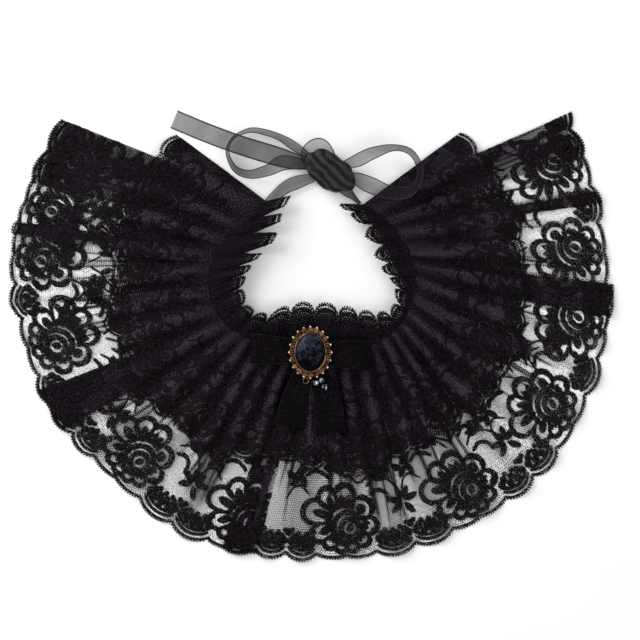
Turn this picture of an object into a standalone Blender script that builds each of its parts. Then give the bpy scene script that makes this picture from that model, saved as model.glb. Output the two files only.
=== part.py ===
"""Black lace collar, laid flat with its tie knotted at the back opening.

Two gathered lace flounces lie on each other around a horseshoe neck seam, with
a pleated frill standing into the neck opening. A ribbon tie closes the back,
and a ribbon bow with an oval brooch sits at the front.
Metres, +Z up. +X is the wearer's left side, +Y is the back of the neck, and the
collar rests on the plane z = 0.
"""
import math

import bmesh
import bpy
import numpy as np
from mathutils import Vector

MM = 0.001
GAP = 0.3                 # clearance between pieces that are sewn or lie together, mm
CLOTH = 1.0               # wall of the lace and of the ribbons, mm
CENTRE_X = 0.29           # plan centre of the collar, mm
CENTRE_Y = -2.02

# Plan of the collar, one row for each station from the left back end, round the
# front, to the right back end. All in mm, from the middle of the neck.
PLAN = {
    "seam_x":  (-33, -61, -78, -85, -82, -69, -48, -22, 7, 35, 61, 79, 88, 89, 80, 66, 46),
    "seam_y":  (110, 92, 73, 51, 26, 7, -4, -10, -11, -10, -4, 10, 31, 55, 77, 97, 112),
    "frill_x": (-16, -24, -30, -49, -57, -50, -36, -16, 9, 34, 56, 70, 73, 63, 53, 42, 23),
    "frill_y": (120, 103, 82, 60, 40, 22, 18, 26, 27, 23, 19, 22, 40, 54, 71, 94, 113),
    "upper_x": (-117, -149, -168, -171, -173, -153, -114, -61, -4, 52, 105, 144, 175, 187,
                184, 166, 132),
    "upper_y": (174, 134, 94, 52, 18, -37, -85, -106, -113, -121, -92, -69, -25, 25, 81,
                131, 176),
    "lower_x": (-217, -241, -256, -261, -249, -226, -179, -105, -18, 70, 149, 210, 247, 261,
                257, 245, 225),
    "lower_y": (186, 138, 94, 46, -10, -67, -120, -177, -195, -192, -162, -113, -46, 20, 81,
                138, 191),
}
LAST = len(PLAN["seam_x"]) - 1

# Lower flounce: soft waves of the lace that shows past the upper flounce.
# at and wide are in stations, high is in mm.
LOWER_WAVES = {
    "at":   (1.66, 2.62, 2.98, 3.36, 3.92, 4.38, 5.78, 6.32, 6.88, 8.15, 8.62, 9.12, 9.62,
             10.10, 10.62, 11.10, 11.60, 12.10, 12.55, 13.82, 14.32),
    "wide": (0.20, 0.26, 0.11, 0.13, 0.24, 0.20, 0.28, 0.28, 0.26, 0.24, 0.24, 0.26, 0.26,
             0.26, 0.20, 0.18, 0.26, 0.26, 0.22, 0.26, 0.24),
    "high": (2.8, 2.2, 2.6, 2.8, 2.4, 2.2, 2.4, 2.6, 2.4, 2.4, 2.2, 2.8, 2.4,
             2.6, 2.8, 3.2, 2.4, 2.6, 2.4, 2.6, 2.4),
}
# Lower flounce: laps, where the lace is folded on itself into three layers.
LOWER_LAPS = {
    "start": (1.95, 4.70, 7.34, 12.92, 14.56),
    "stop":  (2.15, 5.30, 7.68, 13.36, 14.74),
}
LEFT_TURN = 1.15          # station to which the left end is turned under
RIGHT_TURN = 15.28        # station from which the right end is turned under
LAP_PITCH = CLOTH + GAP   # from one layer of a lap to the next, mm
LAP_CLEAR = 2.1           # run before the top layer starts to come down, mm
LAP_RUN = 0.26            # stations from the lap's edge to where it has come down

# Upper flounce: the gathered folds. drift turns a fold, in stations from seam to hem.
UPPER_FOLDS = {
    "at":    (0.45, 1.05, 1.66, 2.40, 3.02, 3.78, 4.36, 4.94, 5.46, 5.94, 6.40, 6.80, 7.20,
              7.60, 8.02, 8.42, 8.80, 9.22, 9.66, 10.10, 10.56, 11.06, 11.56, 12.10, 12.66,
              13.22, 13.80, 14.40, 14.98, 15.54),
    "wide":  (0.34, 0.32, 0.34, 0.38, 0.42, 0.36, 0.34, 0.32, 0.30, 0.27, 0.25, 0.23, 0.23,
              0.23, 0.23, 0.22, 0.23, 0.24, 0.25, 0.25, 0.27, 0.29, 0.30, 0.31, 0.31,
              0.32, 0.33, 0.33, 0.32, 0.28),
    "high":  (4.5, 5.0, 7.0, 6.5, 8.5, 5.0, 6.0, 6.5, 7.0, 7.5, 6.5, 6.0, 7.0,
              6.0, 7.0, 6.0, 7.5, 6.5, 7.0, 7.0, 8.0, 7.0, 8.0, 6.5, 6.0,
              7.0, 6.0, 6.5, 6.0, 4.5),
    "drift": (0.0, 0.1, 0.0, 0.1, 0.5, 0.3, 0.2, 0.1, 0.1, 0.1, 0.0, 0.0, 0.1,
              0.0, 0.0, 0.1, 0.0, -0.1, 0.0, 0.0, 0.1, 0.2, 0.2, 0.1, 0.0,
              0.1, 0.0, 0.0, 0.1, 0.0),
}
# Neck frill: its pleats, each one a lobe of the picot edge.
FRILL_PLEATS = {
    "stop":  (0.42, 1.25, 2.15, 2.85, 3.40, 3.95, 4.65, 5.35, 6.10, 7.02, 7.82, 8.62, 9.32,
              10.02, 10.75, 11.45, 12.10, 12.70, 13.35, 14.15, 14.95, 15.60, 16.0),
    "notch": (9.0, 10.0, 10.0, 7.0, 6.0, 6.0, 5.0, 5.0, 6.0, 4.0, 4.0, 4.0, 4.0,
              4.0, 5.0, 5.0, 6.0, 6.0, 7.0, 7.0, 8.0, 7.0, 5.0),
    "high":  (5.0, 6.0, 6.0, 5.0, 4.5, 4.5, 4.0, 4.0, 4.0, 3.5, 3.5, 3.5, 3.5,
              3.5, 4.0, 4.0, 5.0, 6.0, 6.0, 6.0, 6.0, 5.0, 4.0),
}

SCALLOP = 33.0            # one scallop of the lace's hem, mm along the lace
SCALLOP_DEPTH = 5.0
UPPER_SCALLOP_DEPTH = 5.0

LOWER_LOFT = {"reach": (0.0, 0.14, 0.55, 0.93, 1.0), "lift": (0.3, 0.8, 1.0, 1.0, 0.9)}
UPPER_LOFT = {"reach": (0.0, 0.13, 0.42, 0.90, 1.0), "lift": (0.15, 0.62, 1.0, 1.0, 0.95)}
FRILL_LOFT = {"reach": (0.0, 0.30, 0.70, 1.0), "lift": (0.10, 0.45, 0.90, 1.0)}
LOWER_STEP = 0.11         # stations between two columns of the mesh
UPPER_STEP = 0.085
FRILL_LOBE_STEPS = 6

UPPER_BASE = 4.5          # underside of the upper flounce, clear of the lower one
UPPER_SEAM_BASE = 3.9
SEAM_RISE = 0.16          # reach over which the upper flounce comes up to its base
END_DROP_START = 3.0      # past the lower flounce's end the upper one sinks to the surface
END_DROP_RUN = 22.0
FRILL_BASE = 6.3          # underside of the frill at the seam
FRILL_RISE = 3.0          # how much higher it stands at its free edge

# Knot of the tie, an oval lump that rests on the surface
KNOT = {"x": 17.5, "y": 141.0, "half_x": 17.0, "half_y": 11.0, "high": 14.0, "turn": -18.0}
KNOT_RINGS = 8
KNOT_SIDES = 20
KNOT_FLAT = 0.15          # trimmed off its top and bottom
TIE_WIDTH = 16.0
PINCH_WIDTH = 5.0         # width where a ribbon is gathered into a knot

# The tie's ribbons. leaves and returns give where an end meets the knot: its bearing
# in degrees, its level, its clearance in mm and its lean. Lean is in degrees: 0 lies
# flat and 90 stands on edge.
TIE = {
    "tie_tail_left": {
        "leaves": (160, 4.0, 1.2, 0),
        "x": (-12, -32, -60, -90, -119),
        "y": (149.5, 155.5, 164.0, 175.0, 187.0),
        "z": (2.4, 0.7, 0.5, 0.5, 0.5),
        "lean": (0, 0, 0, 0, 0),
        "width": (13, TIE_WIDTH, TIE_WIDTH, TIE_WIDTH, TIE_WIDTH),
        "columns": 22,
    },
    "tie_loop_left": {
        "leaves": (146, 9.0, 0.6, 60),
        "x": (-12, -30, -50, -66, -69, -58, -36, -16),
        "y": (158, 167, 173.5, 165.5, 149, 138, 135, 141),
        "z": (10, 10.5, 10.5, 10.5, 10.5, 10.0, 9.5, 9.0),
        "lean": (75, 85, 90, 90, 90, 80, 50, 30),
        "width": (11, 14.5, 15, 15, 15, 14.5, 14, 10),
        "returns": (178, 9.5, 0.6, 25),
        "columns": 40,
    },
    "tie_loop_right": {
        "leaves": (38, 9.0, 0.8, 40),
        "x": (46, 64, 80, 93, 94, 83, 68, 52),
        "y": (157, 160, 159, 147, 131, 122, 123, 131),
        "z": (12, 15.5, 18.5, 19, 19, 17.5, 16, 12),
        "lean": (60, 72, 80, 80, 70, 45, 30, 20),
        "width": (11, 14, 15, 15, 14.5, 13, 12, 9),
        "returns": (-12, 9.0, 0.9, 20),
        "columns": 40,
    },
    "tie_strap_left": {
        "leaves": (208, 3.6, 1.2, 0),
        "x": (-10, -22, -30.5),
        "y": (129, 122, 112.8),
        "z": (3.2, 4.0, 4.0),
        "lean": (20, 45, 60),
        "width": (10, 7, 5),
        "columns": 12,
    },
    "tie_strap_right": {
        "leaves": (-62, 3.6, 2.4, 0),
        "x": (32, 38, 43.8),
        "y": (124, 119, 113.1),
        "z": (3.2, 3.0, 3.0),
        "lean": (-20, -45, -60),
        "width": (9, 7, 5),
        "columns": 10,
    },
    "tie_tuft": {
        "leaves": (104, 9.0, 2.2, 0),
        "x": (10, 4),
        "y": (158, 163),
        "z": (10.5, 9.5),
        "lean": (10, 15),
        "width": (12, 14),
        "columns": 8,
    },
}

BOW_X = 0.5               # middle of the bow and of the brooch
BOW_Y = -16.5
BOW_BASE = 10.7           # clear of the folds beneath the bow
BOW_KNOT = {"half_x": 8.0, "half_y": 12.0, "high": 8.5, "sides": 16, "squareness": 0.6}
BOW_KNOT_SECTIONS = {"level": (0.0, 1.4, 6.9, 8.5), "share": (0.86, 1.0, 1.0, 0.82)}
BOW_TILT = 0.06           # the bow's slope across the collar
# One loop of the bow, from the knot out along its low layer and back along its high
# one. out and level are shares of the loop's length and of its height.
BOW_LOOP = {
    "out":   (0.173, 0.45, 0.82, 0.97, 1.0, 0.97, 0.82, 0.45, 0.173),
    "level": (0.0, -0.03, 0.03, 0.225, 0.5, 0.875, 1.09, 1.12, 0.85),
    "width": (15, 22, 25, 25, 25, 25, 25, 22, 15),
}
BOW_LOOP_LENGTH = 52.0
BOW_LOOP_HIGH = 6.5
BOW_LOOP_COLUMNS = 28
BOW_TAIL_COLUMNS = 10
# The bow's tails, in mm from the foot of its knot, and above its lowest layer.
BOW_TAILS = {
    "bow_tail_left": {"x": (-4, -9, -14, -18), "y": (0, -16, -34, -51),
                      "z": (0.6, 1.0, 1.2, 1.2), "width": (11, 20, 25, 25)},
    "bow_tail_right": {"x": (5, 11, 15, 17), "y": (0, -16, -34, -56),
                       "z": (2.2, 3.1, 3.1, 3.1), "width": (11, 20, 25, 25)},
}
BOW_TAIL_START = 0.5      # clearance from the knot's foot to the tails

BROOCH_HALF_X = 19.1
BROOCH_HALF_Y = 22.8
STONE_HALF_X = 12.3
STONE_HALF_Y = 15.6
BROOCH_LOBES = 20
# Section of the frame, from its back opening, out, up and over to the stone's seat.
# share is of the frame's or stone's half widths, plus a margin in mm.
FRAME_SECTION = {
    "of":     ("stone", "frame", "frame", "frame", "frame", "stone", "stone", "stone",
               "stone", "stone"),
    "share":  (0.9, 0.97, 1.0, 0.96, 0.83, 1.0, 1.0, 1.0, 1.0, 0.9),
    "margin": (0, 0, 0, 0, 0, 2.4, 1.3, GAP, GAP, 0),
    "level":  (0, 0, 0.9, 2.2, 2.0, 2.8, 4.0, 3.6, 1.5, 1.5),
    "lobe":   (0, 0.09, 0.09, 0.10, 0.03, 0, 0, 0, 0, 0),
}
STONE_SEAT = 1.5
STONE_FACETS = {"share": (1.0, 1.0, 0.80, 0.46), "level": (0, 1.6, 3.8, 5.0),
                "corners": (24, 24, 12, 8)}

# The jump ring and the cut beads, in mm from the middle of the brooch.
DROP_RING = {"x": -4.0, "y": -24.4, "rise": 9.4, "radius": 2.4, "wire": 0.5}
DROP_BEADS = {"x": (4.6, 9.6, 12.6), "y": (-26.2, -24.4, -30.0), "half": (2.6, 2.4, 2.6)}
BEAD_RISE = 6.6           # height of the beads above the bow's underside
BEAD_FACETS = {"share": (0.55, 1.0, 0.55), "level": (-0.85, 0.0, 0.85), "shift": (0, 0.5, 0)}
BEAD_CORNERS = 8


def clear_scene():
    for obj in list(bpy.data.objects):
        bpy.data.objects.remove(obj, do_unlink=True)


def make_collection(name):
    made = bpy.data.collections.new(name)
    bpy.context.scene.collection.children.link(made)
    return made


def make_material(name, colour, roughness, metallic=0.0):
    mat = bpy.data.materials.new(name)
    mat.use_nodes = True
    shader = mat.node_tree.nodes["Principled BSDF"]
    shader.inputs["Base Color"].default_value = (*colour, 1.0)
    shader.inputs["Roughness"].default_value = roughness
    shader.inputs["Metallic"].default_value = metallic
    mat.diffuse_color = (*colour, 1.0)
    return mat


def make_object(name, verts, faces, mat, smooth=True):
    """Turns points in mm, from the middle of the neck, into an object."""
    mesh = bpy.data.meshes.new(name)
    placed = [((x - CENTRE_X) * MM, (y - CENTRE_Y) * MM, z * MM) for x, y, z in verts]
    mesh.from_pydata(placed, [], faces)
    mesh.materials.append(mat)
    bm = bmesh.new()
    bm.from_mesh(mesh)
    bmesh.ops.recalc_face_normals(bm, faces=bm.faces)
    bm.to_mesh(mesh)
    bm.free()
    obj = bpy.data.objects.new(name, mesh)
    COLLAR.objects.link(obj)
    if smooth:
        mesh.shade_smooth()
        mesh.set_sharp_from_angle(angle=math.radians(50))
    return obj


def through(values, at):
    """A smooth curve through evenly spaced values, read at a station."""
    values = np.asarray(values, float)
    last = len(values) - 1
    ahead = np.concatenate(([2 * values[0] - values[1]], values,
                            [2 * values[-1] - values[-2]]))
    k = np.clip(np.floor(at).astype(int), 0, last - 1)
    f = at - k
    p0, p1, p2, p3 = ahead[k], ahead[k + 1], ahead[k + 2], ahead[k + 3]
    return 0.5 * (2 * p1 + (p2 - p0) * f + (2 * p0 - 5 * p1 + 4 * p2 - p3) * f ** 2
                  + (3 * p1 - p0 - 3 * p2 + p3) * f ** 3)


def smoothstep(x):
    x = np.clip(x, 0.0, 1.0)
    return x * x * (3 - 2 * x)


def edge(which, at):
    """Plan points of the seam, frill, upper or lower edge at the given stations."""
    at = np.asarray(at, float)
    return np.stack([through(PLAN[which + "_x"], at), through(PLAN[which + "_y"], at)], -1)


def row_points(which, at, reach):
    """Plan points a share of the way from the seam to the named edge."""
    seam = edge("seam", at)
    return seam + (edge(which, at) - seam) * np.asarray(reach)[..., None]


def bumps(table, at, reach):
    """Height of the folds at the given stations, on the row at this reach."""
    total = np.zeros_like(at)
    drifts = table.get("drift", (0.0,) * len(table["at"]))
    for middle, wide, high, drift in zip(table["at"], table["wide"], table["high"], drifts):
        away = np.abs(at - middle - drift * (reach - 0.5)) / wide
        total += high * np.where(away < 1, np.cos(np.minimum(away, 1) * math.pi / 2) ** 2, 0)
    return total


def along(which, path, reach):
    """Distance along a row for each point of a path, and the row's directions."""
    fine = np.linspace(0.0, LAST, LAST * 40 + 1)
    points = row_points(which, fine, np.full_like(fine, reach))
    runs = np.hypot(*np.diff(points, axis=0).T)
    distance = np.interp(path[:, 0], fine, np.concatenate(([0.0], np.cumsum(runs))))
    here = path[:, 0]
    ahead = row_points(which, here + 0.01, np.full_like(here, reach))
    behind = row_points(which, here - 0.01, np.full_like(here, reach))
    heading = ahead - behind
    heading /= np.linalg.norm(heading, axis=1)[:, None]
    return distance + path[:, 1], heading


def wall_offsets(distance, height):
    """The two sides of a wall of CLOTH around a path seen end on."""
    step = np.stack([np.diff(distance), np.diff(height)], -1)
    step /= np.linalg.norm(step, axis=1)[:, None]
    before = np.concatenate((step[:1], step))
    after = np.concatenate((step, step[-1:]))
    both = before + after
    both /= np.linalg.norm(both, axis=1)[:, None]
    widen = np.minimum(1 / np.maximum((both * after).sum(1), 0.6), 1.35)
    normal = np.stack([-both[:, 1], both[:, 0]], -1) * widen[:, None]
    return normal * CLOTH / 2


def cloth_faces(rows, columns):
    """Faces of a closed wall: two grids of points, one for each side, and its rim."""
    faces = []
    side = rows * columns
    for r in range(rows - 1):
        for c in range(columns - 1):
            a = r * columns + c
            faces.append((a, a + 1, a + columns + 1, a + columns))
            b = side + a
            faces.append((b, b + columns, b + columns + 1, b + 1))
    for c in range(columns - 1):
        top = (rows - 1) * columns + c
        faces.append((c, side + c, side + c + 1, c + 1))
        faces.append((top, top + 1, side + top + 1, side + top))
    for r in range(rows - 1):
        left = r * columns
        right = left + columns - 1
        faces.append((left, left + columns, side + left + columns, side + left))
        faces.append((right, side + right, side + right + columns, right + columns))
    return faces


def scallops(run, depth):
    """How far the hem reaches out, for points at this run along the lace."""
    return depth * (np.abs(np.sin(math.pi * run / SCALLOP)) ** 0.8 - 0.5)


def path_length(distance, height):
    return np.concatenate(([0.0], np.cumsum(np.hypot(np.diff(distance), np.diff(height)))))


def cloth_piece(name, which, path, loft, height_at, reach_out, mat):
    """A gathered strip of lace as a wall around the same path on every row.

    path has a row for each column of the mesh: station, shift in mm along the
    row, and level in mm. height_at adds the folds, and reach_out the hem's edge.
    """
    count = len(path)
    hem_run, _ = along(which, path, 1.0)
    flat_run = path_length(hem_run, height_at(path, 1.0, 1.0))
    extra = reach_out(path, flat_run)
    span = np.linalg.norm(edge(which, path[:, 0]) - edge("seam", path[:, 0]), axis=1)
    upper_side, lower_side = [], []
    for reach, lift in zip(loft["reach"], loft["lift"]):
        distance, heading = along(which, path, reach)
        height = height_at(path, reach, lift)
        offset = wall_offsets(distance, height)
        shares = reach * (1 + extra / span * reach ** 6)
        plan = row_points(which, path[:, 0], shares) + heading * path[:, 1:2]
        for k in range(count):
            for sign, store in ((1, upper_side), (-1, lower_side)):
                xy = plan[k] + heading[k] * offset[k, 0] * sign
                store.append((xy[0], xy[1], height[k] + offset[k, 1] * sign))
    verts = upper_side + lower_side
    return make_object(name, verts, cloth_faces(len(loft["reach"]), count), mat)


def half_turn(station, side, low, high):
    """Path points of a fold's edge, from the low layer up to the high one."""
    middle = (low + high) / 2
    radius = (high - low) / 2
    angles = np.radians((-90, -30, 30, 90))
    return [(station, side * radius * math.cos(a), middle + radius * math.sin(a))
            for a in angles]


def ramp_down(station, sign, high, low):
    """Path points where the top layer of a lap comes down beside it."""
    shares = np.linspace(0.0, 1.0, 5)
    points = [(station + sign * LAP_RUN * s, sign * LAP_CLEAR * (1 - s),
               high + (low - high) * float(smoothstep(s))) for s in shares]
    return points if sign > 0 else points[::-1]


def spread(start, stop, step):
    """Stations from start to stop, evenly spaced at no more than step."""
    count = max(int(math.ceil(abs(stop - start) / step)), 1)
    return np.linspace(start, stop, count + 1)


def lower_path():
    """Path of the lower flounce, with its laps and its turned-under ends."""
    levels = [CLOTH / 2 + LAP_PITCH * k for k in range(3)]
    path = [(u, 0.0, levels[0]) for u in spread(LEFT_TURN, 0.0, LOWER_STEP)[:-1]]
    path += half_turn(0.0, -1, levels[0], levels[1])
    path += [(u, 0.0, levels[1]) for u in spread(0.0, LEFT_TURN, LOWER_STEP)[1:]]
    path += ramp_down(LEFT_TURN, 1, levels[1], levels[0])
    here = LEFT_TURN + LAP_RUN
    for start, stop in zip(LOWER_LAPS["start"], LOWER_LAPS["stop"]):
        path += [(u, 0.0, levels[0]) for u in spread(here, stop, LOWER_STEP)[1:-1]]
        path += half_turn(stop, 1, levels[0], levels[1])
        path += [(u, 0.0, levels[1]) for u in spread(stop, start, LOWER_STEP)[1:-1]]
        path += half_turn(start, -1, levels[1], levels[2])
        path += [(u, 0.0, levels[2]) for u in spread(start, stop, LOWER_STEP)[1:]]
        path += ramp_down(stop, 1, levels[2], levels[0])
        here = stop + LAP_RUN
    path += [(u, 0.0, levels[0]) for u in spread(here, RIGHT_TURN - LAP_RUN, LOWER_STEP)[1:-1]]
    path += ramp_down(RIGHT_TURN, -1, levels[1], levels[0])
    path += [(u, 0.0, levels[1]) for u in spread(RIGHT_TURN, LAST, LOWER_STEP)[:-1]]
    path += half_turn(LAST, 1, levels[0], levels[1])[::-1]
    path += [(u, 0.0, levels[0]) for u in spread(LAST, RIGHT_TURN, LOWER_STEP)[1:]]
    return np.array(path)


def make_lower_flounce(mat):
    path = lower_path()

    def height_at(path, reach, lift):
        return path[:, 2] + bumps(LOWER_WAVES, path[:, 0], reach) * lift

    def reach_out(path, run):
        return scallops(run, SCALLOP_DEPTH)

    return cloth_piece("lower_flounce", "lower", path, LOWER_LOFT, height_at, reach_out, mat)


def past_lower_end(points, at):
    """How far plan points lie outside the nearer straight end of the lower flounce."""
    away = np.zeros(len(points))
    for station, side in ((0.0, 1.0), (float(LAST), -1.0)):
        seam = edge("seam", station)
        hem = edge("lower", station)
        run = (hem - seam) / np.linalg.norm(hem - seam)
        outward = np.array((run[1], -run[0])) * side
        near = np.abs(at - station) < LAST / 4
        away = np.where(near, np.maximum(away, (points - seam) @ outward), away)
    return away


def make_upper_flounce(mat):
    stations = spread(0.0, LAST, UPPER_STEP)
    path = np.stack([stations, np.zeros_like(stations), np.full_like(stations, CLOTH / 2)], -1)

    def height_at(path, reach, lift):
        at = path[:, 0]
        rise = smoothstep(reach / SEAM_RISE)
        base = UPPER_SEAM_BASE + (UPPER_BASE - UPPER_SEAM_BASE) * rise
        points = row_points("upper", at, np.full_like(at, reach))
        drop = smoothstep((past_lower_end(points, at) - END_DROP_START) / END_DROP_RUN)
        base = base + (GAP - base) * drop
        return path[:, 2] + base + bumps(UPPER_FOLDS, at, reach) * lift

    def reach_out(path, run):
        return scallops(run, UPPER_SCALLOP_DEPTH)

    return cloth_piece("upper_flounce", "upper", path, UPPER_LOFT, height_at, reach_out, mat)


def frill_pleat(at):
    """For each station: share across its pleat from -1 to 1, its notch, its height."""
    stops = np.array(FRILL_PLEATS["stop"])
    starts = np.concatenate(([0.0], stops[:-1]))
    k = np.clip(np.searchsorted(stops, at - 1e-6), 0, len(stops) - 1)
    across = np.clip((at - starts[k]) / (stops[k] - starts[k]), 0, 1) * 2 - 1
    return across, np.array(FRILL_PLEATS["notch"])[k], np.array(FRILL_PLEATS["high"])[k]


def make_neck_frill(mat):
    stations = [0.0]
    start = 0.0
    for stop in FRILL_PLEATS["stop"]:
        shares = (1 - np.cos(np.linspace(0, math.pi, FRILL_LOBE_STEPS + 1))) / 2
        stations += list(start + (stop - start) * shares[1:])
        start = stop
    stations = np.array(stations)
    path = np.stack([stations, np.zeros_like(stations), np.full_like(stations, CLOTH / 2)], -1)

    def height_at(path, reach, lift):
        across, _, high = frill_pleat(path[:, 0])
        standing = FRILL_BASE + FRILL_RISE * math.sin(reach * math.pi / 2)
        return path[:, 2] + standing + high * np.cos(across * math.pi / 2) ** 2 * lift

    def reach_out(path, run):
        across, notch, _ = frill_pleat(path[:, 0])
        return -notch * (1 - np.sqrt(1 - np.minimum(np.abs(across), 1) ** 2))

    return cloth_piece("neck_frill", "frill", path, FRILL_LOFT, height_at, reach_out, mat)


def resample(rows, count):
    """A smooth curve through a short table of rows, at evenly spaced places."""
    rows = np.asarray(rows, float)
    at = np.linspace(0, len(rows) - 1, count)
    return np.stack([through(rows[:, k], at) for k in range(rows.shape[1])], -1)


def loft(name, sections, mat, closed=False):
    """A solid through sections of equally many points, capped or closed on itself."""
    sides = len(sections[0])
    count = len(sections)
    verts = [tuple(point) for section in sections for point in section]
    faces = []
    for k in range(count if closed else count - 1):
        after = (k + 1) % count
        for s in range(sides):
            t = (s + 1) % sides
            faces.append((k * sides + s, k * sides + t, after * sides + t, after * sides + s))
    if not closed:
        faces.append(tuple(range(sides)))
        faces.append(tuple(range((count - 1) * sides, count * sides)))
    return make_object(name, verts, faces, mat)


def ribbon(name, rows, mat, columns, across=None):
    """A ribbon through rows of x, y, z, lean and width.

    With across given, the ribbon's width keeps that direction, as in a loop that
    turns over. Otherwise it leans from flat about its run.
    """
    rows = resample(rows, columns)
    centre = rows[:, :3]
    tangent = np.gradient(centre, axis=0)
    sections = []
    for k in range(columns):
        run = Vector(tangent[k]).normalized()
        if across is None:
            level = Vector((0, 0, 1)).cross(run).normalized()
            lean = math.radians(rows[k, 3])
            side = level * math.cos(lean) + run.cross(level) * math.sin(lean)
        else:
            side = Vector(across).normalized()
        side_step = side * rows[k, 4] / 2
        wall_step = run.cross(side).normalized() * CLOTH / 2
        middle = Vector(centre[k])
        sections.append([middle - side_step - wall_step, middle + side_step - wall_step,
                         middle + side_step + wall_step, middle - side_step + wall_step])
    return loft(name, sections, mat)


def at_knot(bearing, level, past=0.0):
    """A point this far outside the tie's knot, at a bearing in degrees and a level."""
    half = KNOT["high"] / 2
    share = (1 - abs((level - half) / half) ** 3) ** (1 / 3)
    angle = math.radians(bearing)
    across = angle - math.radians(KNOT["turn"])
    radius = share / math.hypot(math.cos(across) / KNOT["half_x"],
                                math.sin(across) / KNOT["half_y"]) + past
    return (KNOT["x"] + radius * math.cos(angle), KNOT["y"] + radius * math.sin(angle), level)


def make_knot(mat):
    sections = []
    for ring in range(KNOT_RINGS + 1):
        level = KNOT["high"] * (1 - math.cos(math.pi * ring / KNOT_RINGS)) / 2
        level = min(max(level, KNOT_FLAT), KNOT["high"] - KNOT_FLAT)
        around = [at_knot(360 * s / KNOT_SIDES, level) for s in range(KNOT_SIDES)]
        sections.append([(x, y, z - KNOT_FLAT) for x, y, z in around])
    return loft("tie_knot", sections, mat)


def make_tie(mat):
    """The ribbon tie: two straps, the knot, a loop to each side, a tail and a tuft."""
    make_knot(mat)
    for name, table in TIE.items():
        ends = {}
        for end in ("leaves", "returns"):
            if end in table:
                bearing, level, past, lean = table[end]
                ends[end] = [(*at_knot(bearing, level, past), lean, PINCH_WIDTH)]
        rows = list(zip(table["x"], table["y"], table["z"], table["lean"], table["width"]))
        rows = ends["leaves"] + rows + ends.get("returns", [])
        ribbon(name, rows, mat, table["columns"])


def make_bow(mat):
    """The front bow: two flattened loops, two tails and the wrap between them."""
    low = BOW_BASE + CLOTH / 2
    for name, side in (("bow_loop_left", -1), ("bow_loop_right", 1)):
        direction = Vector((side, -side * BOW_TILT, 0)).normalized() * BOW_LOOP_LENGTH
        rows = [(BOW_X + direction.x * out, BOW_Y + direction.y * out,
                 low + BOW_LOOP_HIGH * level, 0, width)
                for out, level, width in zip(*BOW_LOOP.values())]
        ribbon(name, rows, mat, BOW_LOOP_COLUMNS, across=(BOW_TILT, 1, 0))
    power = BOW_KNOT["squareness"]
    sections = []
    for level, share in zip(*BOW_KNOT_SECTIONS.values()):
        section = []
        for s in range(BOW_KNOT["sides"]):
            angle = 2 * math.pi * s / BOW_KNOT["sides"]
            x = math.copysign(abs(math.cos(angle)) ** power, math.cos(angle))
            y = math.copysign(abs(math.sin(angle)) ** power, math.sin(angle))
            section.append((BOW_X + BOW_KNOT["half_x"] * share * x,
                            BOW_Y + BOW_KNOT["half_y"] * share * y, BOW_BASE + level))
        sections.append(section)
    loft("bow_knot", sections, mat)
    foot = BOW_Y - BOW_KNOT["half_y"] - BOW_TAIL_START
    for name, table in BOW_TAILS.items():
        rows = [(BOW_X + x, foot + y, low + z, 0, width)
                for x, y, z, width in zip(*table.values())]
        ribbon(name, rows, mat, BOW_TAIL_COLUMNS)


def oval(half_x, half_y, level, sides, lobe=0.0):
    """Points of an oval round the brooch's middle, with lobes that reach in by a share."""
    points = []
    for s in range(sides):
        angle = 2 * math.pi * s / sides
        out = 1 + lobe * (math.cos(BROOCH_LOBES * angle) - 1) / 2
        points.append((BOW_X + half_x * out * math.cos(angle),
                       BOW_Y + half_y * out * math.sin(angle), level))
    return points


def make_brooch(metal, crystal):
    """An oval frame with a lobed edge and a raised rim, holding a faceted stone."""
    base = BOW_BASE + BOW_KNOT["high"] + GAP
    halves = {"frame": (BROOCH_HALF_X, BROOCH_HALF_Y), "stone": (STONE_HALF_X, STONE_HALF_Y)}
    sections = []
    for which, share, margin, level, lobe in zip(*FRAME_SECTION.values()):
        half_x, half_y = (half * share + margin for half in halves[which])
        sections.append(oval(half_x, half_y, base + level, BROOCH_LOBES * 4, lobe))
    loft("brooch_frame", sections, metal, closed=True)
    seat = base + STONE_SEAT + GAP
    corners = []
    for share, level, count in zip(*STONE_FACETS.values()):
        corners += oval(STONE_HALF_X * share, STONE_HALF_Y * share, seat + level, count)
    cut_stone("brooch_stone", corners, crystal)


def cut_stone(name, corners, mat):
    """A cut stone: the flat facets between the given corners."""
    bm = bmesh.new()
    for point in corners:
        bm.verts.new(point)
    bmesh.ops.convex_hull(bm, input=bm.verts)
    bm.verts.index_update()
    verts = [tuple(v.co) for v in bm.verts]
    faces = [tuple(v.index for v in f.verts) for f in bm.faces]
    bm.free()
    return make_object(name, verts, faces, mat, smooth=False)


def make_drops(metal, crystal):
    """A jump ring at the foot of the brooch and the cut beads that lie beside it."""
    centre = Vector((BOW_X + DROP_RING["x"] - CENTRE_X, BOW_Y + DROP_RING["y"] - CENTRE_Y,
                     BOW_BASE + DROP_RING["rise"])) * MM
    bpy.ops.mesh.primitive_torus_add(
        location=centre, major_segments=16, minor_segments=6,
        major_radius=DROP_RING["radius"] * MM, minor_radius=DROP_RING["wire"] * MM)
    ring = bpy.context.active_object
    ring.name = "drop_ring"
    ring.data.materials.append(metal)
    ring.data.shade_smooth()
    for owner in ring.users_collection:
        owner.objects.unlink(ring)
    COLLAR.objects.link(ring)
    for k, (x, y, half) in enumerate(zip(*DROP_BEADS.values())):
        corners = []
        for share, level, shift in zip(*BEAD_FACETS.values()):
            for s in range(BEAD_CORNERS):
                angle = 2 * math.pi * (s + shift) / BEAD_CORNERS
                corners.append((BOW_X + x + half * share * math.cos(angle),
                                BOW_Y + y + half * share * math.sin(angle),
                                BOW_BASE + BEAD_RISE + half * level))
        cut_stone(f"drop_bead_{k + 1}", corners, crystal)


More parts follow.
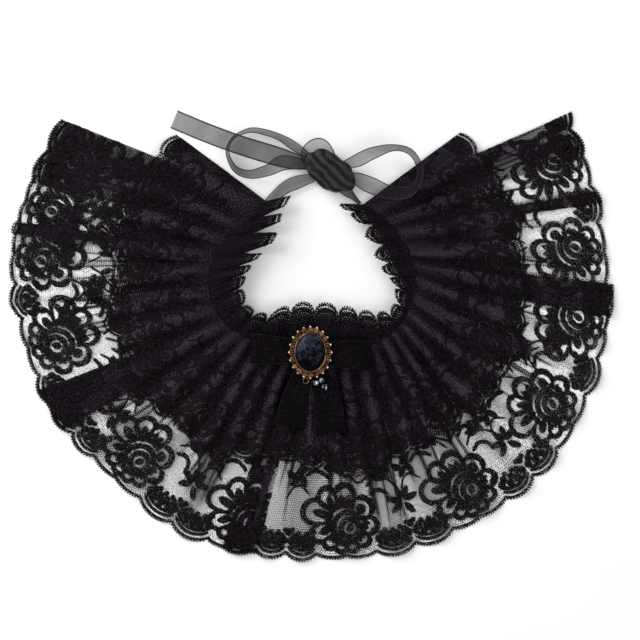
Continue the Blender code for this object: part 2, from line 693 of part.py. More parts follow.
def build():
    lace = make_material("black_lace", (0.020, 0.017, 0.020), 0.85)
    frill_lace = make_material("frill_lace", (0.016, 0.014, 0.016), 0.85)
    organza = make_material("organza", (0.06, 0.055, 0.06), 0.45)
    velvet = make_material("velvet", (0.010, 0.009, 0.011), 0.75)
    bronze = make_material("antique_bronze", (0.36, 0.22, 0.10), 0.38, 1.0)
    crystal = make_material("black_crystal", (0.010, 0.013, 0.030), 0.08)
    make_lower_flounce(lace)
    make_upper_flounce(lace)
    make_neck_frill(frill_lace)
    make_tie(organza)
    make_bow(velvet)
    make_brooch(bronze, crystal)
    make_drops(bronze, crystal)


clear_scene()
COLLAR = make_collection("lace_collar")
build()
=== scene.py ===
"""Looks of the black lace collar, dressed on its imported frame.

The sizes are in mm from the middle of the neck, as the part is drawn, and become
metres of the frame where a mesh is made. The lace is a net sheet, with holes made
by its material, and raised work laid on it as real thread-thick forms.
"""

import math

import bpy
import numpy as np
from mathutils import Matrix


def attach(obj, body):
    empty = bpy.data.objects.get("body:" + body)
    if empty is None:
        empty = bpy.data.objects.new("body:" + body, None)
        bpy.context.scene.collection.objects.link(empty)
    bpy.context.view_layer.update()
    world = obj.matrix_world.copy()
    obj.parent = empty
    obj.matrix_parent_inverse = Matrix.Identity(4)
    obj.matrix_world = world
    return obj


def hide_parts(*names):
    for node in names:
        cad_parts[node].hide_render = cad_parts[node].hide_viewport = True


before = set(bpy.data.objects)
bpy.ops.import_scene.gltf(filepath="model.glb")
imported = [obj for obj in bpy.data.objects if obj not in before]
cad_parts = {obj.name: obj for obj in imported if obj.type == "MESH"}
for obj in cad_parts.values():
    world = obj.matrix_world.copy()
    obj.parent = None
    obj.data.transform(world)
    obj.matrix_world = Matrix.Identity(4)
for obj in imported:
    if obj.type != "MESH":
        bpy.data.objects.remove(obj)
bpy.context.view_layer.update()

MM = 0.001
CLOTH = 1.0               # thickness of a layer of lace in the part, mm
GAP = 0.3                 # left free between one piece and the next
FLOOR_CLEAR = 0.02        # nothing reaches lower than this above the table
CENTRE_X = 0.29           # plan centre of the collar, mm
CENTRE_Y = -2.02

# Plan of the collar: the neck seam, the frill's edge and the two hems at 17 stations,
# from the left back end, round the front, to the right back end. All in mm, from the
# middle of the neck. The tables below place folds, pleats and flowers by station too.
# The seam starts 7 mm further out than in the part, as it does in the photograph.
PLAN = {
    "seam_x":  (-38, -61, -78, -85, -82, -69, -48, -22, 7, 35, 61, 79, 88, 89, 80, 66, 46),
    "seam_y":  (115, 92, 73, 51, 26, 7, -4, -10, -11, -10, -4, 10, 31, 55, 77, 97, 112),
    "frill_x": (-16, -24, -30, -49, -57, -50, -36, -16, 9, 34, 56, 70, 73, 63, 53, 42, 23),
    "frill_y": (120, 103, 82, 60, 40, 22, 18, 26, 27, 23, 19, 22, 40, 54, 71, 94, 113),
    "upper_x": (-117, -149, -168, -171, -173, -153, -114, -61, -4, 52, 105, 144, 175, 187,
                184, 166, 132),
    "upper_y": (174, 134, 94, 52, 18, -37, -85, -106, -113, -121, -92, -69, -25, 25, 81,
                131, 176),
    "lower_x": (-217, -241, -256, -261, -249, -226, -179, -105, -18, 70, 149, 210, 247, 261,
                257, 245, 225),
    "lower_y": (186, 138, 94, 46, -10, -67, -120, -177, -195, -192, -162, -113, -46, 20, 81,
                138, 191),
}
LAST = len(PLAN["seam_x"]) - 1

# Lower flounce: soft waves. at and wide are in stations, high is in mm.
LOWER_WAVES = {
    "at":   (1.66, 2.62, 2.98, 3.36, 3.92, 4.38, 5.78, 6.32, 6.88, 8.15, 8.62, 9.12, 9.62,
             10.10, 10.62, 11.10, 11.60, 12.10, 12.55, 13.82, 14.32),
    "wide": (0.20, 0.26, 0.11, 0.13, 0.24, 0.20, 0.28, 0.28, 0.26, 0.24, 0.24, 0.26, 0.26,
             0.26, 0.20, 0.18, 0.26, 0.26, 0.22, 0.26, 0.24),
    "high": (2.8, 2.2, 2.6, 2.8, 2.4, 2.2, 2.4, 2.6, 2.4, 2.4, 2.2, 2.8, 2.4,
             2.6, 2.8, 3.2, 2.4, 2.6, 2.4, 2.6, 2.4),
}
# Lower flounce: laps, where the lace is folded on itself into three layers.
LOWER_LAPS = {
    "start": (1.95, 4.70, 7.34, 12.92, 14.56),
    "stop":  (2.15, 5.30, 7.68, 13.36, 14.74),
}
LEFT_TURN = 1.15          # station to which the left end is turned under
RIGHT_TURN = 15.28        # station from which the right end is turned under
LAP_PITCH = CLOTH + GAP   # from one layer of a lap to the next, mm
LAP_CLEAR = 2.1           # run before the top layer starts to come down, mm
LAP_RUN = 0.26            # stations from the lap's edge to where it has come down

# Upper flounce: the gathered folds. drift turns a fold, in stations from seam to hem.
UPPER_FOLDS = {
    "at":    (0.45, 1.05, 1.66, 2.40, 3.02, 3.78, 4.36, 4.94, 5.46, 5.94, 6.40, 6.80, 7.20,
              7.60, 8.02, 8.42, 8.80, 9.22, 9.66, 10.10, 10.56, 11.06, 11.56, 12.10, 12.66,
              13.22, 13.80, 14.40, 14.98, 15.54),
    "wide":  (0.34, 0.32, 0.34, 0.38, 0.42, 0.36, 0.34, 0.32, 0.30, 0.27, 0.25, 0.23, 0.23,
              0.23, 0.23, 0.22, 0.23, 0.24, 0.25, 0.25, 0.27, 0.29, 0.30, 0.31, 0.31,
              0.32, 0.33, 0.33, 0.32, 0.28),
    "high":  (4.5, 5.0, 7.0, 6.5, 8.5, 5.0, 6.0, 6.5, 7.0, 7.5, 6.5, 6.0, 7.0,
              6.0, 7.0, 6.0, 7.5, 6.5, 7.0, 7.0, 8.0, 7.0, 8.0, 6.5, 6.0,
              7.0, 6.0, 6.5, 6.0, 4.5),
    "drift": (0.0, 0.1, 0.0, 0.1, 0.5, 0.3, 0.2, 0.1, 0.1, 0.1, 0.0, 0.0, 0.1,
              0.0, 0.0, 0.1, 0.0, -0.1, 0.0, 0.0, 0.1, 0.2, 0.2, 0.1, 0.0,
              0.1, 0.0, 0.0, 0.1, 0.0),
}
# Upper flounce: where a fold's tip hangs past the hem's line, or a hollow draws it in.
TONGUES = {
    "at":   (2.6, 3.5, 4.2, 4.9, 5.9, 6.5, 7.5, 8.1, 8.78, 9.35, 10.28, 10.8, 11.3, 12.25, 13.2),
    "wide": (0.30, 0.34, 0.30, 0.28, 0.30, 0.26, 0.22, 0.24, 0.32, 0.30, 0.30, 0.26, 0.30, 0.32,
             0.34),
    "long": (3.0, -4.0, 7.0, 4.0, -4.0, 4.5, -4.0, 3.0, 9.5, -6.0, 10.0, -5.0, 4.0, 6.0, -3.0),
}
# Neck frill: its pleats, each one a lobe of the picot edge, with the depth of the notch
# beside it and the height of its fold. The first lobes are narrow fingers: how many,
# which share of the pleat is tip, and how soon the gap's foot is reached.
FRILL_PLEATS = {
    "stop":  (0.76, 1.52, 2.44, 2.95, 3.40, 3.95, 4.65, 5.35, 6.10, 7.02, 7.82, 8.62, 9.32,
              10.02, 10.75, 11.45, 12.10, 12.70, 13.35, 14.15, 14.95, 15.60, 16.0),
    "notch": (15.0, 18.5, 19.0, 14.5, 12.0, 9.0, 9.0, 9.0, 10.0, 11.0, 11.0, 11.0, 11.0,
              10.0, 9.0, 10.0, 11.0, 12.0, 13.0, 15.0, 16.0, 13.0, 9.0),
    "high":  (5.0, 6.0, 6.0, 5.0, 4.5, 4.5, 4.0, 4.0, 4.0, 3.5, 3.5, 3.5, 3.5,
              3.5, 4.0, 4.0, 5.0, 6.0, 6.0, 6.0, 6.0, 5.0, 4.0),
}
FINGERS = {"count": 4, "tip": 0.40, "foot": 0.92}
DEEP_NOTCH = 14.0         # a notch deeper than this also cuts wider into its lobe
LOBE_POWER = {"deep": 1.2, "plain": 2.4}
# How much of its height a fold has on the way from the seam, 0, to the hem, 1.
LOWER_LOFT = {"reach": (0.0, 0.14, 0.55, 0.93, 1.0), "lift": (0.3, 0.8, 1.0, 1.0, 0.9)}
UPPER_LOFT = {"reach": (0.0, 0.13, 0.42, 0.90, 1.0), "lift": (0.15, 0.62, 1.0, 1.0, 0.95)}
FRILL_LOFT = {"reach": (0.0, 0.30, 0.70, 1.0), "lift": (0.10, 0.45, 0.90, 1.0)}
UPPER_BASE = 4.5          # height of the upper flounce's underside
UPPER_SEAM_BASE = 3.9     # the same at its seam
SEAM_RISE = 0.16          # share of the way over which it gains the rest
END_DROP_START = 3.0      # how far past the lower flounce's end it starts to come down
END_DROP_RUN = 22.0       # the run over which it comes down to the table
FRILL_BASE = 6.3          # height of the frill's underside at the seam
FRILL_RISE = 3.0          # what it gains from there to its edge
# Small folds, finer than the part's own: seed, number, their widths and their heights.
SMALL_FOLDS = {
    "lower":  (11, 150, (0.05, 0.15), (0.15, 0.75)),
    "pleats": (51, 95, (0.018, 0.045), (0.5, 1.1)),
    "upper":  (23, 40, (0.14, 0.38), (0.7, 2.6)),
    "frill":  (31, 120, (0.04, 0.10), (0.4, 1.5)),
}
WANDER_SEED = 41          # of the sideways curves of the upper folds

# The tie: the part's knot, and ribbons laid as in the photograph with their ends at it.
# leaves and returns are a ribbon's ends at the knot: bearing, level, distance past the
# knot's side, and lean. lean turns a ribbon about its own run. Angles are in degrees.
KNOT = {"x": 17.5, "y": 141.0, "half_x": 17.0, "half_y": 11.0, "high": 14.0, "turn": -18.0}
KNOT_DRAWN = {"long": 1.30, "wide": 1.22, "turn": -32.0}   # how its folds pull the knot
# Its creases: how close they lie along and across it, their shift and their depth.
KNOT_CREASES = ((0.10, 0.24, 0.4, 2.4), (0.34, -0.12, 0.0, 0.9))
KNOT_FLARE = 0.075        # how much it widens towards its ends
TIE_WIDTH = 16.0
PINCH_WIDTH = 5.0         # width of a ribbon inside the knot
PINCH_IN = 3.0            # how far inside the knot a ribbon ends
TIE = {
    "tie_tail_left": {
        "leaves": (160, 4.0, 1.2, 0),
        "x": (-12, -32, -60, -90, -119),
        "y": (149.5, 155.5, 164.0, 175.0, 187.0),
        "z": (2.4, 0.7, 0.5, 0.5, 0.5),
        "lean": (0, 0, 0, 0, 0),
        "width": (13, TIE_WIDTH, TIE_WIDTH, TIE_WIDTH, TIE_WIDTH),
    },
    "tie_loop_left": {
        "leaves": (146, 9.0, 0.6, 40),
        "x": (-13, -26, -41, -53, -66, -71.5, -69.5, -63, -51, -35.5, -22),
        "y": (162, 170, 175, 176, 170, 160, 149.5, 141, 137.8, 141.7, 148),
        "z": (10, 10.5, 10.5, 10.5, 10.5, 10.5, 10.5, 10.5, 10.2, 9.8, 9.6),
        "lean": (45, 60, 64, 68, 74, 76, 76, 72, 65, 48, 24),
        "width": (11, 13, 14, 14.5, 15, 15, 15, 15, 14, 13, 13),
        "returns": (162, 9.5, 0.6, 15),
    },
    "tie_loop_right": {
        "leaves": (24, 9.0, 0.8, 20),
        "x": (41, 54, 72, 87, 95, 93, 84, 68, 52, 41),
        "y": (149.5, 155.5, 160, 156, 142, 129.5, 121.5, 122, 128.5, 134),
        "z": (12, 15, 18, 19, 19, 18.5, 17.5, 16, 13.5, 11),
        "lean": (22, 45, 74, 78, 76, 70, 50, 30, 16, 12),
        "width": (11, 13, 14, 15, 15, 15, 14.5, 14, 14.5, 11),
        "returns": (-16, 9.0, 0.9, 12),
    },
    "tie_strap_left": {
        "leaves": (203, 3.6, 1.2, 0),
        "x": (-10, -22, -33, -38),
        "y": (132, 126.5, 117, 110),
        "z": (3.2, 4.0, 4.8, 6.6),
        "lean": (10, 20, 25, 10),
        "width": (11, 11, 9, 8),
    },
    "tie_strap_right": {
        "leaves": (-62, 3.6, 2.4, 0),
        "x": (32, 38, 43.8),
        "y": (124, 119, 113.1),
        "z": (3.2, 3.0, 3.0),
        "lean": (-20, -45, -60),
        "width": (9, 7, 5),
    },
    "tie_tuft": {
        "leaves": (152, 9.0, 0.6, 45),
        "x": (-1, 1, 8, 15),
        "y": (151, 157, 161, 156),
        "z": (10.5, 11.0, 11.5, 11.0),
        "lean": (25, 14, 12, 25),
        "width": (13, 16, 16, 13),
        "returns": (58, 9.5, 0.6, 50),
    },
}

# The bow and the brooch. A loop's out and level are shares of its length and height.
BOW_X = 0.5
BOW_Y = -16.5
BOW_BASE = 10.7           # height of the bow's underside
BOW_KNOT = {"half_x": 8.0, "half_y": 12.0, "high": 8.5, "squareness": 0.6,
            "crease": 0.35, "creases": 7.0}
BOW_TILT = 0.06           # how much the loops fall from left to right
BOW_LOOP = {
    "out":   (0.173, 0.45, 0.82, 0.97, 1.0, 0.97, 0.82, 0.45, 0.173),
    "level": (0.0, -0.03, 0.03, 0.225, 0.5, 0.875, 1.09, 1.12, 0.85),
    "width": (15, 22, 25, 25, 25, 25, 25, 22, 15),
}
BOW_LOOP_LENGTH = 52.0
BOW_LOOP_HIGH = 6.5
BOW_TAILS = {
    "bow_tail_left": {"x": (-4, -9, -14, -18), "y": (0, -16, -34, -51),
                      "z": (0.6, 1.0, 1.2, 1.2), "width": (11, 20, 25, 25)},
    "bow_tail_right": {"x": (5, 11, 15, 17), "y": (0, -16, -34, -56),
                       "z": (2.2, 3.1, 3.1, 3.1), "width": (11, 20, 25, 25)},
}
BOW_TAIL_START = 0.5      # from the wrap to where a tail starts
BOW_RIBBON = 25.0         # width of the velvet ribbon
BOW_SHEET = {"strips": 20, "crimp": 1.0, "thick": 0.8}   # how its cloth is made
BROOCH_HALF_X = 19.1
BROOCH_HALF_Y = 22.8
BROOCH_BASE = BOW_BASE + BOW_KNOT["high"] + GAP
BROOCH_LOBES = 20         # arches of wire round the frame
STONE_HALF_X = 12.3
STONE_HALF_Y = 15.6
# The brooch's wires: how far outside the stone and how high they lie. An arch has these
# for its feet, with what its top adds, and in the same way the share of a lobe it spans.
RIM_WIRE = {"out": 1.1, "level": 4.0}
ARCH_WIRE = {"out": (2.6, 3.6), "level": (3.4, -0.7), "out_y": (2.6, 3.8)}
ARCH_SPAN = (0.62, 0.3)
TIP_IN = 0.7              # from the frame's outline to the middle of a tip
BALL_RADIUS = {"tip": 0.95, "bead": 0.62, "grain": 0.48}

# Fineness of the cloth meshes.
COLUMN_STEP = 0.016       # stations between two columns
LOWER_ROWS = 40
UPPER_ROWS = 38
FRILL_ROWS = 18
HEM_ROWS = 8              # how many of the rows lie close together at the hem
HEM_BAND = 0.93           # share of the way from the seam at which those start
PAST_HEM = 1.04           # how far on the cloth's surface is known, for the picot edge
FRILL_START = -0.12       # its sewn edge lies this share of its width past the seam

# How open the nets are, as a share of their area: at the seam, and what they gain, from
# which share of the way to the hem and over how much of it. The upper net is less open
# at its ends too, there over a run in stations.
LOWER_NET = {"least": 0.33, "gain": 0.47, "from": 0.25, "over": 0.3}
UPPER_NET = {"least": 0.03, "gain": 0.17, "from": 0.45, "over": 0.55}
UPPER_ENDS = {"least": 0.25, "gain": 0.75, "from": 0.5, "over": 0.6}
# How much more or less open the lower net is along the collar, inside each lap and in
# its turned ends.
LOWER_OPEN = {"at": (2.0, 2.7, 4.5, 5.9, 6.6, 7.3, 7.9, 8.7, 10.0, 12.0),
              "share": (1.06, 1.14, 1.14, 0.92, 0.88, 0.88, 0.70, 0.80, 0.80, 1.22)}
LAP_OPEN = (0.5, 0.5, 1.25, 0.5, 0.5)
TURNED_OPEN = 0.55
# How much less open it is in a wave, a small fold or a pleat, and at what height, in mm.
LESS_OPEN = {"wave": (0.22, 3.0), "fold": (0.25, 0.8), "pleat": (0.9, 0.6)}
# How much more open the upper net is round its flowers along the collar, and the size of
# such a clear spot: half its length, how far in its middle lies, half its depth, and how
# far out it goes on fading. It shows only on the outer half of the way to the hem.
UPPER_CLEAR = {"at": (4.0, 6.5, 10.5, 13.0), "share": (0.26, 0.42, 0.42, 0.26)}
CLEAR_SPOT = {"half_u": 34.0, "in": 24.0, "half_v": 20.0, "fade": 1.25}
CLEAR_START = {"least": 0.0, "gain": 1.0, "from": 0.5, "over": 0.3}
# The frill's net is open only near its edge: how far in that ends, and over what run.
FRILL_NET = {"open": 0.10, "in": 14.0, "over": 8.0}

# The lace's repeat, in mm on the flat lace: u along the hem, v in from the hem.
REPEAT = 110.0
FLOWER_IN = 33.0          # from the hem to the middle of a flower
FLOWER_SCALLOP = 54.0     # length of the shallow scallop under a flower
BERRY_SCALLOP = 30.0      # about the length of a scallop under the berries
LEAST_GAP = 4.0           # a shorter run between flowers gets no scallop
# Stations of the lower flounce where the photographed flowers lie.
FLOWER_STATIONS = (0.53, 1.52, 2.56, 4.05, 6.13, 7.47, 8.57, 10.02, 11.50, 12.74, 13.83, 15.31)
# The petals: bearing from the heart, how far out the foot and the tip lie, width, the
# rim's width, how much of the room inside the rim the solid middle fills along and
# across, and how deep its end is notched.
PETALS = {
    "bearing": (165, 129, 88, 30, -18, -53, -78, -99, -122, -151),
    "foot":    (10.0, 11.0, 10.5, 12.0, 14.5, 16.0, 16.5, 16.5, 14.5, 12.5),
    "tip":     (41.0, 36.5, 33.5, 30.5, 31.0, 31.0, 30.5, 30.5, 31.0, 34.0),
    "width":   (25.5, 21.5, 24.5, 25.0, 20.0, 15.5, 14.0, 14.0, 14.5, 20.0),
    "rim":     (5.2, 5.2, 6.0, 6.0, 5.4, 4.8, 4.6, 4.6, 4.6, 4.8),
    "long":    (0.76, 0.72, 0.66, 0.76, 0.60, 0.68, 0.70, 0.70, 0.68, 0.72),
    "wide":    (0.46, 0.52, 0.80, 0.60, 0.66, 0.82, 0.84, 0.84, 0.82, 0.60),
    "notch":   (0.0, 0.0, 0.42, 0.0, 0.35, 0.38, 0.32, 0.32, 0.38, 0.0),
}
# The heart: an eye, and crescents folded round it.
EYE = {"u": 4.0, "v": -6.8, "length": 9.4, "width": 6.2, "bearing": 65}
CRESCENTS = {
    "u":      (4.3, 2.9, 1.0, -1.5),
    "v":      (-7.2, -5.8, -3.4, -2.0),
    "radius": (7.8, 12.6, 16.4, 19.0),
    "band":   (5.4, 5.3, 4.8, 4.0),
    "start":  (0, 20, 60, -60),
    "stop":   (360, 245, 200, 15),
}
# Stems from the flower to the sprigs between flowers, and the scrolls above them.
STEMS = (
    ((22, 27), (31, 33), (41, 32), (49, 25), (54, 14)),
    ((-33, 22), (-41, 29), (-49, 27), (-54, 17)),
    ((4, 35), (-2, 44), (-12, 50), (-22, 60)),
    ((46, 30), (44, 42), (50, 54), (49, 70)),
    ((-50, 30), (-47, 42), (-38, 52), (-30, 66)),
    ((8, 36), (16, 46), (27, 52), (33, 64)),
)
STEM_BAND = 2.3
SCROLLS = (
    ((24, 20), (33, 23), (40, 19), (41, 10)),
    ((-38, 38), (-29, 43), (-19, 40), (-14, 36)),
    ((20, 38), (28, 43), (37, 41)),
    ((-30, -26), (-37, -20), (-38, -12)),
)
SCROLL_BAND = 3.8
LEAVES = {
    "u":       (36.0, 44.0, -40.0, -48.0, -5.0, -14.0, -13.0, 41.0, 51.0, 45.0, -53.0, -42.0,
                -43.0, 13.0, 24.0, 24.0, 33.0),
    "v":       (37.0, 37.0, 34.0, 33.0, 48.0, 46.0, 56.0, 40.0, 46.0, 58.0, 38.0, 42.0,
                54.0, 50.0, 46.0, 57.0, 34.0),
    "length":  (14.5, 14.5, 14.0, 13.5, 14.0, 13.5, 12.0, 13.0, 13.5, 13.0, 13.0, 13.0,
                12.0, 13.0, 13.5, 12.0, 13.0),
    "width":   (6.8, 6.8, 6.8, 6.6, 6.8, 6.8, 6.0, 6.6, 6.6, 6.2, 6.6, 6.6,
                6.2, 6.6, 6.8, 6.0, 6.6),
    "bearing": (115, 50, 120, 45, 80, 10, 150, 140, 40, 150, 150, 30,
                160, 110, 10, 70, 150),
}
SPRIG = {"u": 54.0, "v": 8.0, "bearings": (15, 62, 108, 158, 210, 300), "length": 13.5,
         "width": 6.4, "stalk": 1.2}
# The hem between flowers: two bands with a slit between them, and rows of berries.
SCALLOP_BANDS = {"in": (1.8, 5.8), "width": (3.0, 3.4)}
SCALLOP_ENDS = 1.4        # from a scallop's end to where its bands start
SCALLOP_SAG = 1.6         # how much further in they lie there
BERRY_ROWS = {"shift": (0.5, 0.0, 0.5), "in": (10.0, 14.8, 19.0), "radius": (3.8, 3.6, 2.6)}
BERRY_PITCH = 7.2         # about the distance between berries in a row
BERRY_CORNERS = 9
BERRY_FOLLOW = 0.85       # how much of the hem's curve the rows follow
# The hem's line: how far inside the plan's line it dips between scallops, and how far it
# stands out from there over the berries, and under a flower, in an arch and two lobes.
HEM_DIP = 2.6
BERRY_ARCH = 6.8
FLOWER_ARCH = 2.2
FLOWER_LOBES = 2.2
PICOT_PITCH = 2.4         # from one bar of the picot edge to the next
PICOT_LENGTH = 2.6
PICOT_BAR = 1.9           # width of a bar
PICOT_OUT = 0.3           # how far the bars stand past the hem's line
PICOT_LAP = 0.4           # how much longer a bar is, for its ends to hold
PICOT_CORD = 2.6          # width of the cord that the bars hang on
PICOT_CORD_AT = 0.82      # how far in it runs, as a share of their length
HEM_GAP = 2.0             # open threads between the bars and the lace
FRILL_GAP = 1.2           # the same on the frill
FRILL_CORD = {"in": 6.2, "width": 3.4}
HEM_MARGIN = 0.5          # cords along a hem stop this far from its ends
HEM_OPEN = 0.86           # how open the threads at the hem are
CUT_AWAY = 0.7            # hole size past which nothing of the net is left
LOWER_SQUEEZE = 1.15      # how much the gathers draw the lower flowers in
UPPER_SQUEEZE = 1.2
UPPER_SCALE = 0.8         # the upper flounce's motif against the lower one's
UPPER_PICOT = 0.85        # and its picot edge
# A worked band: the step between its sections, its section as shares of its width and
# height, how its ends narrow, and how uneven its width is.
BAND_STEP = 1.6
BAND_SECTION = ((-0.5, 0), (-0.3, 1), (0.3, 1), (0.5, 0), (0, -0.35))
BAND_ENDS = (0.6, 0.9, 1.0)
BAND_UNEVEN = (0.88, 1.12)
WORK_SEED = 5
# A solid shape: its rings as shares of its outline and height, and its middle's heights.
BLOB_RINGS = ((1.0, 0.0), (0.80, 1.0))
BLOB_MIDDLES = (1.25, -0.35)
# A notched leaf: angles from its tip, in radians.
NOTCH_SIDE = 0.45         # half the notch
LOBE_AT = 0.8             # the middle of the lobe beside it
LOBE_SIDE = 0.35          # half that lobe
THREAD_HIGH = 0.35        # how proud the worked parts are of the net
NET_PITCH = 2.2           # from one hole of the net to the next
ROW_PITCH = math.sqrt(3.0)   # from one row to the next but one, in pitches
# Painted shade on the net: its colour is darker in a fold's hollows and lighter on its crests,
# set by this span and height.
CREST_SPAN = 41           # columns over which a fold is set against the cloth around it
CREST_HIGH = 5.0          # from the darkest hollow to the lightest crest of a fold

# Ribbons, cords and balls.
CRIMP_PLEATS = 3.0        # small pleats across a ribbon where it is drawn in
ORGANZA_DENSE = 0.25      # how much of the light organza stops where it lies flat
ORGANZA_CRIMPED = 0.22    # how much more where it is drawn in
ORGANZA_STANDING = 0.34   # and where it stands on its edge
ORGANZA_MOST = 0.98
# Its woven edge: from where across the ribbon, over how much of it, and how dense it is.
ORGANZA_RIM = {"from": 0.44, "over": 0.05, "dense": 0.55}
CORD_SIDES = 6
TIE_CORD = 0.36           # radius of the tie's edges
BOW_CORD = 0.45
WIRE = 0.42               # radius of the brooch's wires
BALL_RINGS = 8
BALL_SIDES = 12
GRAINS = 44               # beads in the row round the stone

# The lights: place, size and power.
LIGHTS = {"key": ((-1.5, 1.2, 1.2), 1.6, 43.0), "fill": ((1.2, -0.8, 1.9), 1.4, 14.5)}
WORLD_LIGHT = 0.56


# The cloth as the part draws it.
def through(values, at):
    """A smooth curve through evenly spaced values, read at a station."""
    values = np.asarray(values, float)
    last = len(values) - 1
    ahead = np.concatenate(([2 * values[0] - values[1]], values,
                            [2 * values[-1] - values[-2]]))
    k = np.clip(np.floor(at).astype(int), 0, last - 1)
    f = at - k
    p0, p1, p2, p3 = ahead[k], ahead[k + 1], ahead[k + 2], ahead[k + 3]
    return 0.5 * (2 * p1 + (p2 - p0) * f + (2 * p0 - 5 * p1 + 4 * p2 - p3) * f ** 2
                  + (3 * p1 - p0 - 3 * p2 + p3) * f ** 3)


def smoothstep(x):
    x = np.clip(x, 0.0, 1.0)
    return x * x * (3 - 2 * x)


def unit(vectors):
    """The same directions, each of length 1."""
    return vectors / np.maximum(np.linalg.norm(vectors, axis=-1), 1e-9)[..., None]


def added_up(steps):
    """Distance at each point of a line, from the steps between its points."""
    return np.concatenate(([0.0], np.cumsum(steps)))


def edge(which, at):
    """Plan points of the seam, frill, upper or lower edge at the given stations."""
    at = np.asarray(at, float)
    return np.stack([through(PLAN[which + "_x"], at), through(PLAN[which + "_y"], at)], -1)


def row_points(which, at, reach):
    """Plan points a share of the way from the seam to the named edge."""
    seam = edge("seam", at)
    return seam + (edge(which, at) - seam) * np.asarray(reach)[..., None]


def bumps(table, at, reach):
    """Height of the folds at the given stations, on the row at this reach."""
    total = np.zeros_like(at)
    drifts = table.get("drift", (0.0,) * len(table["at"]))
    for middle, wide, high, drift in zip(table["at"], table["wide"], table["high"], drifts):
        away = np.abs(at - middle - drift * (reach - 0.5)) / wide
        total += high * np.where(away < 1, np.cos(np.minimum(away, 1) * math.pi / 2) ** 2, 0)
    return total


def along(which, path, reach):
    """Distance along a row for each point of a path, and the row's directions."""
    fine = np.linspace(0.0, LAST, LAST * 40 + 1)
    runs = np.hypot(*np.diff(row_points(which, fine, reach), axis=0).T)
    here = path[:, 0]
    distance = np.interp(here, fine, added_up(runs)) + path[:, 1]
    ahead = row_points(which, here + 0.01, reach)
    behind = row_points(which, here - 0.01, reach)
    return distance, unit(ahead - behind)


def hem_run(which, path, height_at):
    """Distance along the hem for each point of a path, over its folds and laps."""
    distance, _ = along(which, path, 1.0)
    return added_up(np.hypot(np.diff(distance), np.diff(height_at(path, 1.0))))


def half_turn(station, side, low, high):
    """Path points of a fold's edge, from the low layer up to the high one."""
    middle = (low + high) / 2
    radius = (high - low) / 2
    return [(station, side * radius * math.cos(a), middle + radius * math.sin(a))
            for a in np.radians(np.linspace(-90, 90, 9))]


def ramp_down(station, sign, high, low):
    """Path points where the top layer of a lap comes down beside it."""
    shares = np.linspace(0.0, 1.0, 13)
    points = [(station + sign * LAP_RUN * s, sign * LAP_CLEAR * (1 - s),
               high + (low - high) * float(smoothstep(s))) for s in shares]
    return points if sign > 0 else points[::-1]


def spread(start, stop):
    """Stations from start to stop, evenly spaced at no more than the column step."""
    count = max(int(math.ceil(abs(stop - start) / COLUMN_STEP)), 1)
    return np.linspace(start, stop, count + 1)


def level_run(start, stop, level, first=1, last=1):
    """Path points between two stations at one level, less some at either end."""
    stations = spread(start, stop)
    return [(u, 0.0, level) for u in stations[first:len(stations) - last]]


def lower_path():
    """Path of the lower flounce, with its laps and its turned-under ends."""
    low, middle, high = (CLOTH / 2 + LAP_PITCH * k for k in range(3))
    path = level_run(LEFT_TURN, 0.0, low, first=0)
    path += half_turn(0.0, -1, low, middle)
    path += level_run(0.0, LEFT_TURN, middle, last=0)
    path += ramp_down(LEFT_TURN, 1, middle, low)
    here = LEFT_TURN + LAP_RUN
    for start, stop in zip(*LOWER_LAPS.values()):
        path += level_run(here, stop, low)
        path += half_turn(stop, 1, low, middle)
        path += level_run(stop, start, middle)
        path += half_turn(start, -1, middle, high)
        path += level_run(start, stop, high, last=0)
        path += ramp_down(stop, 1, high, low)
        here = stop + LAP_RUN
    path += level_run(here, RIGHT_TURN - LAP_RUN, low)
    path += ramp_down(RIGHT_TURN, -1, middle, low)
    path += level_run(RIGHT_TURN, LAST, middle, first=0)
    path += half_turn(LAST, 1, low, middle)[::-1]
    path += level_run(LAST, RIGHT_TURN, low, last=0)
    return np.array(path)


def plain_path():
    """Path of a tier without laps."""
    stations = spread(0.0, float(LAST))
    return np.stack([stations, np.zeros_like(stations), np.full_like(stations, CLOTH / 2)], -1)


def past_lower_end(points, at):
    """How far plan points lie outside the nearer straight end of the lower flounce."""
    away = np.zeros(len(points))
    for station, side in ((0.0, 1.0), (float(LAST), -1.0)):
        seam = edge("seam", station)
        hem = edge("lower", station)
        run = unit(hem - seam)
        outward = np.array((run[1], -run[0])) * side
        near = np.abs(at - station) < LAST / 4
        away = np.where(near, np.maximum(away, (points - seam) @ outward), away)
    return away


def frill_pleat(at):
    """For each station: which pleat it is in, and the share across it from -1 to 1."""
    stops = np.array(FRILL_PLEATS["stop"])
    starts = np.concatenate(([0.0], stops[:-1]))
    k = np.clip(np.searchsorted(stops, at - 1e-6), 0, len(stops) - 1)
    return k, np.clip((at - starts[k]) / (stops[k] - starts[k]), 0, 1) * 2 - 1


def resample(rows, count):
    """A smooth curve through a short table of rows, at evenly spaced places."""
    rows = np.asarray(rows, float)
    at = np.linspace(0, len(rows) - 1, count)
    return np.stack([through(rows[:, k], at) for k in range(rows.shape[1])], -1)


def at_knot(bearing, level, past=0.0):
    """A point this far outside the tie's knot, at a bearing in degrees and a level."""
    half = KNOT["high"] / 2
    share = (1 - abs((level - half) / half) ** 3) ** (1 / 3)
    angle = math.radians(bearing)
    across = angle - math.radians(KNOT["turn"])
    radius = share / math.hypot(math.cos(across) / KNOT["half_x"],
                                math.sin(across) / KNOT["half_y"]) + past
    return (KNOT["x"] + radius * math.cos(angle), KNOT["y"] + radius * math.sin(angle), level)


